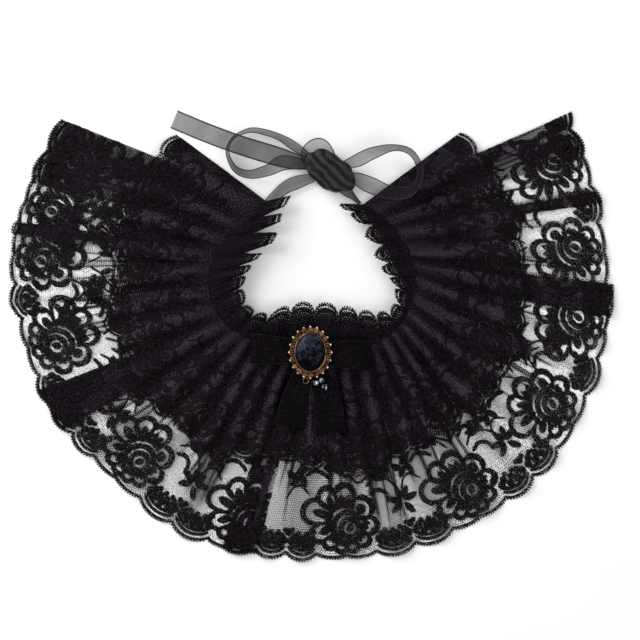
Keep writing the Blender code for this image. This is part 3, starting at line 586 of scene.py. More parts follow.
# Small folds, finer than the part's own.
def small_folds(seed, count, wide, high):
    """A table of narrow folds: where each lies, how wide and high, and where it ends."""
    draw = np.random.default_rng(seed)
    return {
        "at": draw.uniform(0, LAST, count),
        "wide": draw.uniform(*wide, count),
        "high": draw.uniform(*high, count),
        "drift": draw.uniform(-0.25, 0.25, count),
        "stop": draw.uniform(0.30, 1.25, count),
    }


LOWER_SMALL = small_folds(*SMALL_FOLDS["lower"])
PINCHED = small_folds(*SMALL_FOLDS["pleats"])


def wander(at, reach):
    """Stations moved sideways a little, so that folds curve on their way to the hem."""
    draw = np.random.default_rng(WANDER_SEED)
    moved = np.zeros_like(at)
    for _ in range(5):
        pitch = draw.uniform(0.8, 2.6)
        phase = draw.uniform(0, 6.3)
        bend = draw.uniform(0.02, 0.06)
        moved += bend * np.sin(at * pitch + phase + reach * 3.0)
    return at + moved * reach


def small_bumps(table, at, reach):
    """Height of the narrow folds, which rise from the seam and die out along the cloth."""
    total = np.zeros_like(at)
    for middle, wide, high, drift, stop in zip(*table.values()):
        away = np.abs(at - middle - drift * (reach - 0.3)) / (wide * (0.45 + 0.75 * reach))
        here = smoothstep(reach / 0.10) * smoothstep((stop - reach) / 0.3)
        total += high * here * np.clip(1 - away, 0, 1) ** 1.5
    return total


# Meshes.
def make_mesh(name, points, faces, mat, uv=None, values=None):
    """An object from points in mm, with UVs and named values at its points."""
    mesh = bpy.data.meshes.new(name)
    placed = (np.asarray(points, float) - (CENTRE_X, CENTRE_Y, 0.0)) * MM
    placed[:, 2] = np.maximum(placed[:, 2], FLOOR_CLEAR * MM)
    mesh.from_pydata(placed.tolist(), [], [tuple(f) for f in faces])
    mesh.materials.append(mat)
    if uv is not None:
        corner = np.empty(len(mesh.loops), dtype=np.int32)
        mesh.loops.foreach_get("vertex_index", corner)
        layer = mesh.uv_layers.new(name="flat")
        layer.data.foreach_set("uv", np.asarray(uv, float)[corner].ravel())
    for label, numbers in (values or {}).items():
        attribute = mesh.attributes.new(label, "FLOAT", "POINT")
        attribute.data.foreach_set("value", np.asarray(numbers, np.float32))
    mesh.shade_smooth()
    mesh.validate()
    obj = bpy.data.objects.new(name, mesh)
    bpy.context.scene.collection.objects.link(obj)
    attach(obj, "root")
    return obj


def grid_faces(rows, columns, flip=False, around=False):
    """Quads of a grid of points, in rows, closed round each row if around is set."""
    r = np.arange(rows - 1)[:, None]
    c = np.arange(columns if around else columns - 1)[None, :]
    after = (c + 1) % columns
    a = r * columns + c
    b = r * columns + after
    quads = np.stack([a, b, b + columns, a + columns], -1).reshape(-1, 4)
    return quads[:, ::-1].tolist() if flip else quads.tolist()


def tube_faces(rings, sides, turn=1):
    """Faces of rings of points, closed round, with a cap at each end."""
    first = tuple(range(sides))
    last = tuple(range((rings - 1) * sides, rings * sides))
    return grid_faces(rings, sides, around=True) + [first[::-turn], last[::turn]]


class Parts:
    """Points and faces of many small shapes, joined into one."""

    def __init__(self):
        self.points = []
        self.faces = []
        self.count = 0

    def add(self, points, faces):
        self.points.append(points)
        self.faces += [tuple(v + self.count for v in face) for face in faces]
        self.count += len(points)

    def mesh(self, name, mat):
        return make_mesh(name, np.concatenate(self.points), self.faces, mat)


def cell(values, marks):
    """Between which two marks each value lies, and how far on from the first of them."""
    place = np.interp(values, marks, np.arange(len(marks)))
    first = np.clip(np.floor(place).astype(int), 0, len(marks) - 2)
    return first, (place - first)[:, None]


class Cloth:
    """A gathered strip as its middle surface: rows of points from its seam to its hem."""

    def __init__(self, which, path, rows, height_at, out_at, facing=1, bend=6, start=0.0):
        self.facing = facing
        self.bend = bend
        self.stations = path[:, 0]
        self.reaches = np.concatenate((np.linspace(start, HEM_BAND - 0.01, rows - HEM_ROWS),
                                       np.linspace(HEM_BAND, 1.0, HEM_ROWS), [PAST_HEM]))
        self.run = hem_run(which, path, height_at)
        self.out = out_at(path, self.run)
        self.span = np.linalg.norm(edge(which, path[:, 0]) - edge("seam", path[:, 0]), axis=1)
        layers = []
        for reach in self.reaches:
            _, heading = along(which, path, reach)
            share = reach * (1 + self.out / self.span * reach ** bend)
            plan = row_points(which, path[:, 0], share) + heading * path[:, 1:2]
            layers.append(np.column_stack((plan, height_at(path, reach))))
        self.points = np.array(layers)
        across = np.gradient(self.points, axis=1)
        down = np.gradient(self.points, axis=0)
        self.normals = unit(np.cross(down, across) * facing)

    def at(self, run, inside, rise):
        """Points for places on the flat lace: mm along the hem, mm in from it, mm proud."""
        c, f = cell(run, self.run)
        span = np.interp(run, self.run, self.span)
        ratio = np.interp(run, self.run, self.out) / span
        share = 1 - inside / span
        reach = np.clip(share, 0.01, None)
        for _ in range(5):
            miss = reach * (1 + ratio * reach ** self.bend) - share
            slope = 1 + (self.bend + 1) * ratio * reach ** self.bend
            reach = np.clip(reach - miss / slope, 0.0, PAST_HEM)
        r, g = cell(reach, self.reaches)

        def blend(grid):
            near = grid[r, c] * (1 - f) + grid[r, c + 1] * f
            far = grid[r + 1, c] * (1 - f) + grid[r + 1, c + 1] * f
            return near * (1 - g) + far * g

        return blend(self.points) + blend(self.normals) * rise[:, None]

    def edge_out(self, run):
        return np.interp(run, self.run, self.out)

    def net(self, name, mat, hole_at):
        """The net as a sheet with flat UVs and the size of its holes at each point."""
        points = self.points[:-1]
        rows, columns = points.shape[:2]
        reach = np.repeat(self.reaches[:-1], columns)
        inside = (1 - reach) * np.tile(self.span, rows)
        run = np.tile(self.run, rows)
        at = np.tile(self.stations, rows)
        uv = np.column_stack((run, inside)) * MM
        faces = grid_faces(rows, columns, flip=self.facing > 0)
        # The crest value stored here is the mask for shade painted into the net's colour.
        return make_mesh(name, points.reshape(-1, 3), faces, mat, uv=uv,
                         values={"hole": hole_at(reach, at, inside),
                                 "crest": self.painted_fold_shade().ravel()})

    def painted_fold_shade(self):
        """How high each point stands in the cloth around it, from 0 to 1: the mask for the net's
        painted shade.
        """
        high = self.points[:-1, :, 2]
        side = CREST_SPAN // 2
        padded = np.pad(high, ((0, 0), (side, side)), mode="edge")
        window = np.full(CREST_SPAN, 1 / CREST_SPAN)
        around = np.stack([np.convolve(row, window, "valid") for row in padded])
        return np.clip(0.5 + (high - around) / CREST_HIGH, 0, 1)


# The raised work of the lace.
def round_angles(count):
    return np.linspace(0, 2 * math.pi, count, endpoint=False)


def circle(u, v, radius, angles):
    return np.column_stack((u + radius * np.cos(angles), v + radius * np.sin(angles)))


def turned(u, v, x, y, bearing):
    """A shape's x and y, turned to a bearing in degrees and moved to u, v."""
    turn = math.radians(bearing)
    return (u + x * math.cos(turn) - y * math.sin(turn),
            v + x * math.sin(turn) + y * math.cos(turn))


class Work(Parts):
    """Raised work as points on the flat lace: mm along the hem, in from it and proud."""

    def __init__(self):
        super().__init__()
        self.draw = np.random.default_rng(WORK_SEED)

    def band(self, line, width=None, step=BAND_STEP, smooth=True, closed=False):
        """A worked band along a line, domed across, with ends that narrow.

        The line's points may hold the band's width there as a third number.
        """
        line = np.asarray(line, float)
        if line.shape[1] == 2:
            line = np.column_stack((line, np.full(len(line), width)))
        if smooth:
            length = np.hypot(*np.diff(line[:, :2], axis=0).T).sum()
            line = resample(line, max(int(length / step), 3) + 1)
        count = len(line)
        wide = line[:, 2] * self.draw.uniform(*BAND_UNEVEN, count)
        line = line[:, :2]
        if closed:
            run = np.roll(line, -1, axis=0) - np.roll(line, 1, axis=0)
        else:
            run = np.gradient(line, axis=0)
            ends = np.minimum(np.arange(count), np.arange(count)[::-1])
            wide *= np.array(BAND_ENDS)[np.minimum(ends, 2)]
        run = unit(run)
        side = np.stack([-run[:, 1], run[:, 0]], -1)
        sections = []
        for share, level in BAND_SECTION:
            plan = line + side * (wide * share)[:, None]
            sections.append(np.column_stack((plan, np.full(count, level * THREAD_HIGH))))
        corners = len(sections)
        if closed:
            faces = (np.array(grid_faces(count + 1, corners, around=True))
                     % (count * corners)).tolist()
        else:
            faces = tube_faces(count, corners, turn=-1)
        self.add(np.stack(sections, 1).reshape(-1, 3), faces)

    def blob(self, outline, high=THREAD_HIGH):
        """A solid shape, domed, inside a ring of points that can be seen from its middle."""
        outline = np.asarray(outline, float)
        count = len(outline)
        middle = outline.mean(axis=0)
        rings = []
        for share, level in BLOB_RINGS:
            plan = middle + (outline - middle) * share
            rings.append(np.column_stack((plan, np.full(count, level * high))))
        points = np.concatenate(rings + [[(*middle, level * high)] for level in BLOB_MIDDLES])
        faces = grid_faces(2, count, around=True)
        top = 2 * count
        for k in range(count):
            after = (k + 1) % count
            faces.append((count + k, count + after, top))
            faces.append((after, k, top + 1))
        self.add(points, faces)

    def leaf(self, u, v, length, width, bearing, point=0.5, corners=12, notch=0.0):
        """A pointed leaf centred at u, v, its far end notched into two lobes if asked."""
        angle = round_angles(corners)
        off_tip = np.minimum(angle, 2 * math.pi - angle)
        x = length / 2 * np.cos(angle) * (1 - notch * np.exp(-(off_tip / NOTCH_SIDE) ** 2))
        x += length * 0.5 * notch * np.exp(-((off_tip - LOBE_AT) / LOBE_SIDE) ** 2)
        y = width / 2 * np.sin(angle) * np.abs(np.sin(angle)) ** point
        self.blob(np.column_stack(turned(u, v, x, y, bearing)))

    def berry(self, u, v, radius):
        self.blob(circle(u, v, radius, round_angles(BERRY_CORNERS)), high=THREAD_HIGH * 1.2)

    def arc(self, u, v, radius, start, stop, width):
        closed = stop - start >= 360
        angles = np.radians(np.linspace(start, stop, int((stop - start) / 12) + 1))
        if closed:
            angles = angles[:-1]
        self.band(circle(u, v, radius, angles), width, smooth=False, closed=closed)

    def petal(self, bearing, foot, tip, width, rim, long, wide, notch):
        """A petal pointing away from the heart: its worked rim and its solid middle."""
        length = tip - foot
        half = (width - rim) / 2
        last = length - rim / 2
        shoulder = max(last - half, 0.3 * length)
        turns = np.radians(np.linspace(-90, 90, 9))
        out = np.concatenate(([0, shoulder * 0.5], shoulder + (last - shoulder) * np.cos(turns),
                              [shoulder * 0.5, 0]))
        side = np.concatenate(([-0.40, -0.80], np.sin(turns), [0.80, 0.40])) * half
        thick = rim * (0.34 + 0.66 * smoothstep(out / (0.9 * length)))
        self.band(np.column_stack((*turned(0, 0, foot + out, side, bearing), thick)))
        room = (length - rim) * long
        middle = foot + 0.5 + room / 2
        self.leaf(*turned(0, 0, middle, 0, bearing), room, (width - 1.5 * rim) * wide, bearing,
                  point=0.15, corners=20 if notch else 12, notch=notch)

    def flower(self, u, v, s, squeeze):
        """The flower with its petals, its heart and its eye, at scale s, and its stems.

        squeeze widens it along the hem, as much as the gathers will draw it in.
        """
        first = len(self.points)
        for shape in zip(*PETALS.values()):
            self.petal(*shape)
        for middle_u, middle_v, radius, band, start, stop in zip(*CRESCENTS.values()):
            self.arc(middle_u, middle_v, radius, start, stop, band)
        self.leaf(*EYE.values(), point=0.3)
        for line in STEMS:
            self.band(line, STEM_BAND, step=2.5)
        for line in SCROLLS:
            self.band(line, SCROLL_BAND, step=2.2)
        for place in zip(*LEAVES.values()):
            self.leaf(*place)
        out = SPRIG["stalk"] + SPRIG["length"] / 2
        for bearing in SPRIG["bearings"]:
            place = turned(SPRIG["u"], SPRIG["v"], out, 0, bearing)
            self.leaf(*place, SPRIG["length"], SPRIG["width"], bearing)
        for k in range(first, len(self.points)):
            shape = self.points[k]
            self.points[k] = np.column_stack((u + shape[:, 0] * s * squeeze,
                                              v + shape[:, 1] * s, shape[:, 2]))

    def make(self, name, cloth, mat):
        flat = np.concatenate(self.points)
        points = cloth.at(flat[:, 0], flat[:, 1], flat[:, 2])
        return make_mesh(name, points, self.faces, mat, uv=flat[:, :2] * MM)


def scallop_table(flowers, total, s):
    """Scallops of a hem: start, stop and whether a flower stands over each."""
    half = FLOWER_SCALLOP * s / 2
    table = []
    here = 0.0
    for middle in list(flowers) + [total + half]:
        gap = middle - half - here
        count = max(int(round(gap / (BERRY_SCALLOP * s))), 1)
        if gap > LEAST_GAP:
            table += [(here + gap * k / count, here + gap * (k + 1) / count, False)
                      for k in range(count)]
        if middle < total:
            table.append((middle - half, min(middle + half, total), True))
        here = middle + half
    return table


def scalloped(table, s):
    """The hem's edge as a function: mm past the plan's line, for a run along the hem."""
    def out_at(path, run):
        out = np.full_like(run, -HEM_DIP * s)
        for start, stop, flower in table:
            x = (run - start) / (stop - start)
            inside = (x >= 0) & (x <= 1)
            arch = np.sin(np.clip(x, 0, 1) * math.pi)
            if flower:
                lobes = np.abs(np.sin(2 * math.pi * x)) ** 0.6
                rise = FLOWER_ARCH * arch ** 0.45 + FLOWER_LOBES * lobes
            else:
                rise = BERRY_ARCH * arch ** 0.6
            out = np.where(inside, (rise - HEM_DIP) * s, out)
        return out
    return out_at


def hem_line(cloth, inside):
    """Flat points along the hem's edge, this far in from it."""
    stop = cloth.run[-1] - HEM_MARGIN
    count = max(int((stop - HEM_MARGIN) / BAND_STEP), 2) + 1
    run = np.linspace(HEM_MARGIN, stop, count)
    return np.column_stack((run, inside - cloth.edge_out(run)))


def picot_edge(work, cloth, s):
    """The row of small bars past the hem, and the cord that they hang on."""
    total = cloth.run[-1]
    length = PICOT_LENGTH * s
    work.band(hem_line(cloth, length * PICOT_CORD_AT), PICOT_CORD * s, smooth=False)
    count = int(total / (PICOT_PITCH * s))
    for k in range(count):
        run = (k + 0.5) * total / count
        middle = 0.5 * length - float(cloth.edge_out(run)) - PICOT_OUT
        work.leaf(run, middle - PICOT_LAP / 2, length + PICOT_LAP, PICOT_BAR * s, 90,
                  point=0.0, corners=6)


def hole_radius(share):
    """The holes' radius, as a share of the net's pitch, that leaves this much open."""
    return np.sqrt(np.maximum(share, 0.0) / 3.628)


def past_hem(share, inside, s=1.0, gap=HEM_GAP):
    """The holes' radius, with open threads at the hem and no net between the bars."""
    length = PICOT_LENGTH * s
    share = np.where(inside < length + gap * s, HEM_OPEN, share)
    return np.where(inside < length * 0.9, CUT_AWAY, hole_radius(share))


def berry_scallops(work, cloth, table, s):
    """The bands along each scallop between flowers, and the rows of berries over them."""
    foot = (PICOT_LENGTH + HEM_GAP) * s
    for start, stop, flower in table:
        if flower:
            continue
        x = np.linspace(start + SCALLOP_ENDS * s, stop - SCALLOP_ENDS * s, 9)
        arch = np.sin((x - start) / (stop - start) * math.pi)
        for inside, wide in zip(*SCALLOP_BANDS.values()):
            rise = foot + (inside + SCALLOP_SAG * (1 - arch)) * s - cloth.edge_out(x)
            work.band(np.column_stack((x, rise)), wide * s)
        width = stop - start
        count = max(int(round(width / (BERRY_PITCH * s))), 2)
        for shift, inside, radius in zip(*BERRY_ROWS.values()):
            for k in range(count):
                u = start + width * (k + shift) / count
                v = foot + inside * s - BERRY_FOLLOW * float(cloth.edge_out(u))
                work.berry(u, v, radius * s)


# Materials.
class Finish:
    """A material with a Principled shader, and short calls for the nodes it needs."""

    def __init__(self, name, colour, roughness, **values):
        self.mat = bpy.data.materials.new(name)
        self.mat.use_nodes = True
        self.tree = self.mat.node_tree
        self.shader = self.tree.nodes["Principled BSDF"]
        self.shader.inputs["Base Color"].default_value = (*colour, 1.0)
        self.shader.inputs["Roughness"].default_value = roughness
        for socket, value in values.items():
            self.shader.inputs[socket.replace("_", " ")].default_value = value

    def node(self, kind, links=None, **values):
        made = self.tree.nodes.new("ShaderNode" + kind)
        for label, value in values.items():
            if hasattr(made, label):
                setattr(made, label, value)
            else:
                made.inputs[label.replace("_", " ")].default_value = value
        for socket, source in (links or {}).items():
            self.tree.links.new(source, made.inputs[socket])
        return made

    def math(self, operation, a, b):
        made = self.node("Math", operation=operation)
        for socket, value in zip(made.inputs, (a, b)):
            if isinstance(value, (int, float)):
                socket.default_value = value
            else:
                self.tree.links.new(value, socket)
        return made.outputs[0]

    def set(self, socket, source):
        self.tree.links.new(source, self.shader.inputs[socket])

    def flat(self):
        """Places on the flat cloth, in metres."""
        return self.node("UVMap", uv_map="flat").outputs[0]

    def place(self):
        """Places on the object itself, in metres."""
        return self.node("TexCoord").outputs["Object"]

    def stored(self, name):
        """A value stored at the mesh's points."""
        return self.node("Attribute", attribute_name=name).outputs["Fac"]

    def noise(self, scale, detail=3.0, source=None):
        links = {"Vector": source or self.place()}
        return self.node("TexNoise", links, Scale=scale, Detail=detail).outputs["Fac"]

    def stripes(self, source, direction, scale, distortion, **values):
        """Fine lines side by side."""
        return self.node("TexWave", {"Vector": source}, wave_type="BANDS",
                         bands_direction=direction, Scale=scale, Distortion=distortion,
                         **values).outputs["Fac"]

    def facets(self, scale):
        """Cells like cut facets: the distance in each, and one shade for each."""
        cells = self.node("TexVoronoi", {"Vector": self.place()}, Scale=scale)
        shade = self.node("SeparateColor", {"Color": cells.outputs["Color"]}).outputs[0]
        return cells.outputs["Distance"], shade

    def ramp(self, source, dark, light, low, high):
        """A colour between two, as the source goes from low to high."""
        made = self.node("ValToRGB", {"Fac": source})
        for element, at, colour in zip(made.color_ramp.elements, (low, high), (dark, light)):
            element.position = at
            element.color = (*colour, 1.0)
        self.set("Base Color", made.outputs["Color"])

    def bump(self, height, depth):
        made = self.node("Bump", {"Height": height}, Distance=depth * MM)
        self.set("Normal", made.outputs[0])


def net_finish(name, dark, light):
    """Black net with round holes in a staggered grid, as large as its hole value says.

    Its colour carries painted shade: darker in the hollows of the folds, greyer over their tops.
    """
    made = Finish(name, dark, 0.62, Specular_IOR_Level=0.03)
    uv = made.flat()
    # Random grain plus painted shade: the colour is lighter on fold crests and darker in hollows.
    grain_and_painted_shade = made.math("ADD", made.noise(700.0, 3.0, uv),
                     made.math("MULTIPLY", made.stored("crest"), 0.11))
    made.ramp(grain_and_painted_shade, dark, light, 0.515, 0.76)
    split = made.node("SeparateXYZ", {"Vector": uv})
    nearest = None
    for shift in (0.0, 0.5):
        axes = []
        for source, stretch in ((split.outputs["X"], 1.0), (split.outputs["Y"], ROW_PITCH)):
            place = made.math("MULTIPLY", source, 1 / (NET_PITCH * MM * stretch))
            part = made.math("FRACT", made.math("ADD", place, shift), 0.0)
            part = made.math("MULTIPLY", made.math("SUBTRACT", part, 0.5), stretch)
            axes.append(made.math("MULTIPLY", part, part))
        away = made.math("SQRT", made.math("ADD", *axes), 0.0)
        nearest = made.math("MINIMUM", nearest, away) if nearest else away
    hole = made.stored("hole")
    uneven = made.math("ADD", made.math("MULTIPLY", made.noise(560.0, 2.0, uv), 1.1), 0.45)
    thread = made.math("GREATER_THAN", nearest, made.math("MULTIPLY", hole, uneven))
    made.set("Alpha", made.math("MULTIPLY", thread, made.math("LESS_THAN", hole, 0.6)))
    return made.mat


def work_finish(name, dark, light):
    """The worked parts of the lace: close stitches with a slight lustre."""
    made = Finish(name, dark, 0.55, Specular_IOR_Level=0.05)
    uv = made.flat()
    made.ramp(made.noise(900.0, 2.0, uv), dark, light, 0.4, 0.7)
    made.bump(made.stripes(uv, "DIAGONAL", 420.0, 2.5), 0.12)
    made.set("Alpha", made.math("GREATER_THAN", made.noise(1000.0, 1.0, uv), 0.395))
    return made.mat


def organza_finish():
    """Sheer organza: a see-through weave, a little denser in thin lines."""
    made = Finish("organza_sheer", (0.019, 0.0128, 0.020), 0.6, Specular_IOR_Level=0.0)
    uv = made.flat()
    weave = made.stripes(uv, "X", 500.0, 0.6)
    grain = made.math("MULTIPLY", made.noise(700.0, 2.0, uv), 0.16)
    cloudy = made.math("MULTIPLY", made.noise(45.0, 2.0, uv), 0.22)
    lines = made.math("MULTIPLY", weave, 0.10)
    uneven = made.math("ADD", lines, made.math("ADD", grain, cloudy))
    made.set("Alpha", made.math("MINIMUM", made.math("ADD", made.stored("dense"), uneven), 1.0))
    made.bump(weave, 0.05)
    return made.mat


def plain_thread(name, colour, roughness, patches, gloss):
    """A thin dark cord or edge thread with a twisted surface, lighter in patches."""
    made = Finish(name, colour, roughness, Specular_IOR_Level=gloss)
    made.ramp(made.noise(patches, 2.0), colour, tuple(c * 5.0 for c in colour), 0.5, 0.75)
    made.bump(made.noise(2500.0, 1.0), 0.06)
    return made.mat


def velvet_finish():
    """Black velvet with its soft pile."""
    made = Finish("velvet_pile", (0.010, 0.009, 0.011), 0.85, Sheen_Weight=0.02,
                  Sheen_Roughness=0.35, Specular_IOR_Level=0.04,
                  Sheen_Tint=(0.55, 0.50, 0.56, 1.0))
    made.ramp(made.noise(700.0), (0.0014, 0.0010, 0.0015), (0.0120, 0.0085, 0.0130), 0.48, 0.72)
    made.bump(made.noise(1800.0, 4.0), 0.15)
    return made.mat


def bronze_finish(name, dark, light, roughness):
    """Antique bronze: bright where it is rubbed and brown elsewhere, in random patches."""
    made = Finish(name, light, roughness, Metallic=1.0)
    wear = made.noise(420.0, 4.0)
    made.ramp(wear, dark, light, 0.36, 0.60)
    made.set("Roughness", made.math("ADD", made.math("MULTIPLY", wear, 0.35), roughness - 0.15))
    made.bump(made.noise(1600.0, 3.0), 0.05)
    return made.mat


def crystal_finish():
    """Black crystal cut in facets, with painted light: lighter and bluer towards its upper left
    and on some facets at random, as painted reflections.
    """
    made = Finish("crystal_cut", (0.006, 0.009, 0.022), 0.12, Specular_IOR_Level=0.06)
    depth, shade = made.facets(380.0)
    # Painted light: the stone's colour is lighter towards its upper left, the side facing the key
    # lamp, and on random facets.
    place = made.node("SeparateXYZ", {"Vector": made.node("TexCoord").outputs["Generated"]})
    painted_side_light = made.math("ADD", made.math("MULTIPLY", place.outputs["Y"], 0.60),
                      made.math("MULTIPLY", place.outputs["X"], -0.20))
    lit = made.math("ADD", made.math("ADD", painted_side_light, 0.15), made.math("MULTIPLY", shade, 0.36))
    made.ramp(lit, (0.0004, 0.0005, 0.0018), (0.044, 0.050, 0.070), 0.46, 1.0)
    made.bump(depth, 0.25)
    return made.mat


def bead_finish():
    """Cut crystal beads: some facets painted near white beside dark ones, as painted glints."""
    made = Finish("crystal_bead", (0.5, 0.5, 0.55), 0.12, Metallic=0.35)
    # Painted glints: facets picked at random are coloured near white.
    made.ramp(made.facets(620.0)[1], (0.010, 0.012, 0.020), (0.92, 0.95, 1.0), 0.52, 0.76)
    return made.mat


# The lace tiers.
def lower_cloth():
    path = lower_path()

    def height_at(path, reach):
        lift = np.interp(reach, LOWER_LOFT["reach"], LOWER_LOFT["lift"])
        at = path[:, 0]
        return (path[:, 2] + bumps(LOWER_WAVES, at, reach) * lift
                + small_bumps(LOWER_SMALL, at, reach) + pinches(at, reach))

    run = hem_run("lower", path, height_at)
    known = []
    for station in FLOWER_STATIONS:
        # Where the lace lies in layers, the top one counts.
        score = np.abs(path[:, 0] - station) - path[:, 2] * 0.001
        known.append(float(run[int(np.argmin(score))]))
    flowers = fill_flowers(known, run[-1])
    table = scallop_table(flowers, run[-1], 1.0)
    return Cloth("lower", path, LOWER_ROWS, height_at, scalloped(table, 1.0)), flowers, table


def fill_flowers(known, total):
    """Adds the flowers that lie hidden in laps, and those on to both ends."""
    flowers = [known[0]]
    for here in known[1:]:
        last = flowers[-1]
        gap = here - last
        count = max(int(round(gap / REPEAT)), 1)
        flowers += [last + gap * (k + 1) / count for k in range(count)]
    while flowers[0] > REPEAT:
        flowers.insert(0, flowers[0] - REPEAT)
    while flowers[-1] < total - REPEAT:
        flowers.append(flowers[-1] + REPEAT)
    return flowers


def upper_cloth():
    path = plain_path()
    small = small_folds(*SMALL_FOLDS["upper"])

    def height_at(path, reach):
        at = wander(path[:, 0], reach)
        lift = np.interp(reach, UPPER_LOFT["reach"], UPPER_LOFT["lift"])
        rise = smoothstep(reach / SEAM_RISE)
        base = UPPER_SEAM_BASE + (UPPER_BASE - UPPER_SEAM_BASE) * rise
        away = past_lower_end(row_points("upper", path[:, 0], reach), path[:, 0])
        drop = smoothstep((away - END_DROP_START) / END_DROP_RUN)
        base = base + (GAP - base) * drop
        return (path[:, 2] + base + bumps(UPPER_FOLDS, at, reach) * lift
                + small_bumps(small, at, reach))

    total = hem_run("upper", path, height_at)[-1]
    count = int(total / (REPEAT * UPPER_SCALE))
    flowers = [(k + 0.5) * total / count for k in range(count)]
    table = scallop_table(flowers, total, UPPER_SCALE)
    plain_hem = scalloped(table, UPPER_SCALE)

    def out_at(path, run):
        out = plain_hem(path, run)
        for middle, wide, long in zip(*TONGUES.values()):
            away = np.clip(np.abs(path[:, 0] - middle) / wide, 0, 1)
            out = out + long * (1 - away) ** 1.2
        return out

    return Cloth("upper", path, UPPER_ROWS, height_at, out_at), flowers, table


def frill_cloth():
    path = plain_path()
    small = small_folds(*SMALL_FOLDS["frill"])
    pleat, across = frill_pleat(path[:, 0])
    high = np.array(FRILL_PLEATS["high"])[pleat]
    notch = np.array(FRILL_PLEATS["notch"])[pleat]

    def height_at(path, reach):
        lift = np.interp(reach, FRILL_LOFT["reach"], FRILL_LOFT["lift"])
        standing = FRILL_BASE + FRILL_RISE * math.sin(min(reach, 1.0) * math.pi / 2)
        return (path[:, 2] + standing + high * np.cos(across * math.pi / 2) ** 2 * lift
                + small_bumps(small, path[:, 0], reach))

    def out_at(path, run):
        off = np.minimum(np.where(pleat < 1, np.maximum(across, 0), np.abs(across)), 1)
        power = np.where(notch > DEEP_NOTCH, LOBE_POWER["deep"], LOBE_POWER["plain"])
        lobe = 1 - np.sqrt(1 - off ** power)
        finger = smoothstep((off - FINGERS["tip"]) / (FINGERS["foot"] - FINGERS["tip"]))
        return -notch * np.where(pleat < FINGERS["count"], finger, lobe)

    return Cloth("frill", path, FRILL_ROWS, height_at, out_at, facing=-1, bend=0,
                 start=FRILL_START)


def pinches(at, reach):
    """Height of the narrow pleats that the gathers leave in the net past the upper hem."""
    total = np.zeros_like(at)
    # Each narrows on its way and ends between 0.70 and 0.95 of the way to the hem.
    for middle, wide, high, drift, stop in zip(*PINCHED.values()):
        away = np.abs(at - middle - drift * (reach - 0.5)) / (wide * (1.6 - reach))
        last = 0.62 + 0.26 * stop
        total += high * smoothstep((last - reach) / 0.15) * np.clip(1 - away, 0, 1)
    return total * smoothstep(np.asarray(reach) / 0.1)


def opening(table, at):
    """How open a net is as it goes from its least to its full share."""
    return table["least"] + table["gain"] * smoothstep((at - table["from"]) / table["over"])


def lower_open(reach, at):
    """How open the lower net is: less where it is gathered, pleated or lapped."""
    def left_by(kind, height, power=1):
        most, full = LESS_OPEN[kind]
        return 1 - most * np.clip(height / full, 0, 1) ** power

    share = opening(LOWER_NET, reach) * np.interp(at, *LOWER_OPEN.values())
    share *= left_by("wave", bumps(LOWER_WAVES, at, reach), power=3)
    share *= left_by("fold", small_bumps(LOWER_SMALL, at, reach))
    share *= left_by("pleat", pinches(at, reach))
    for start, stop, lap_open in zip(*LOWER_LAPS.values(), LAP_OPEN):
        share = np.where((at >= start) & (at <= stop), share * lap_open, share)
    under = (at < LEFT_TURN) | (at > RIGHT_TURN)
    return np.where(under, share * TURNED_OPEN, share)


def flower_work(flowers, s, squeeze):
    """The flowers of a tier, each with all that grows round it."""
    work = Work()
    for u in flowers:
        work.flower(u, FLOWER_IN * s, s, squeeze)
    return work


def edging(cloth, table, s, bars):
    """What lies along a tier's hem: bands and berries at one scale, bars at another."""
    work = Work()
    berry_scallops(work, cloth, table, s)
    picot_edge(work, cloth, bars)
    return work


def dress_tier(tier, node, cloth, net, holes, mat, parts):
    """A tier's net in place of its solid, and its raised parts."""
    sheet = cloth.net(tier + "_net", net, holes)
    raised = [work.make(tier + "_" + part, cloth, mat) for part, work in parts.items()]
    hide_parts(node)
    return sheet, raised


def make_lace():
    net = net_finish("net_black", (0.0017, 0.0010, 0.0018), (0.057, 0.044, 0.0600))
    # The frill gets a darker copy of the same net: painted shade, because the steep frill catches
    # more light than the flat tiers.
    frill = net_finish("net_frill_painted_shade", (0.0014, 0.0009, 0.0015), (0.022, 0.016, 0.0235))
    work = work_finish("work_black", (0.0014, 0.0009, 0.0015), (0.0140, 0.0095, 0.0150))

    cloth, flowers, table = lower_cloth()

    def lower_holes(reach, at, inside):
        return past_hem(lower_open(reach, at), inside)

    sheet, raised = dress_tier(
        "lower", "lower_flounce", cloth, net, lower_holes, work,
        {"work": flower_work(flowers, 1.0, LOWER_SQUEEZE),
         "edging": edging(cloth, table, 1.0, 1.0)})

    cloth, flowers, table = upper_cloth()

    def upper_holes(reach, at, inside):
        share = opening(UPPER_NET, reach)
        run = np.interp(at, cloth.stations, cloth.run)
        clear = np.interp(at, *UPPER_CLEAR.values())
        for middle in flowers:
            away = np.hypot((run - middle) / CLEAR_SPOT["half_u"],
                            (inside - CLEAR_SPOT["in"]) / CLEAR_SPOT["half_v"])
            here = smoothstep(CLEAR_SPOT["fade"] - away)
            share = share + clear * here * opening(CLEAR_START, reach)
        share *= opening(UPPER_ENDS, np.minimum(at, LAST - at))
        return past_hem(share, inside, UPPER_PICOT)

    sheet, raised = dress_tier(
        "upper", "upper_flounce", cloth, net, upper_holes, work,
        {"work": flower_work(flowers, UPPER_SCALE, UPPER_SQUEEZE),
         "edging": edging(cloth, table, UPPER_SCALE, UPPER_PICOT)})

    cloth = frill_cloth()

    def frill_holes(reach, at, inside):
        share = FRILL_NET["open"] * smoothstep((FRILL_NET["in"] - inside) / FRILL_NET["over"])
        return past_hem(share, inside, gap=FRILL_GAP)

    trim = Work()
    picot_edge(trim, cloth, 1.0)
    trim.band(hem_line(cloth, FRILL_CORD["in"]), FRILL_CORD["width"], smooth=False)
    sheet, raised = dress_tier("frill", "neck_frill", cloth, frill, frill_holes,
                               work, {"work": trim})


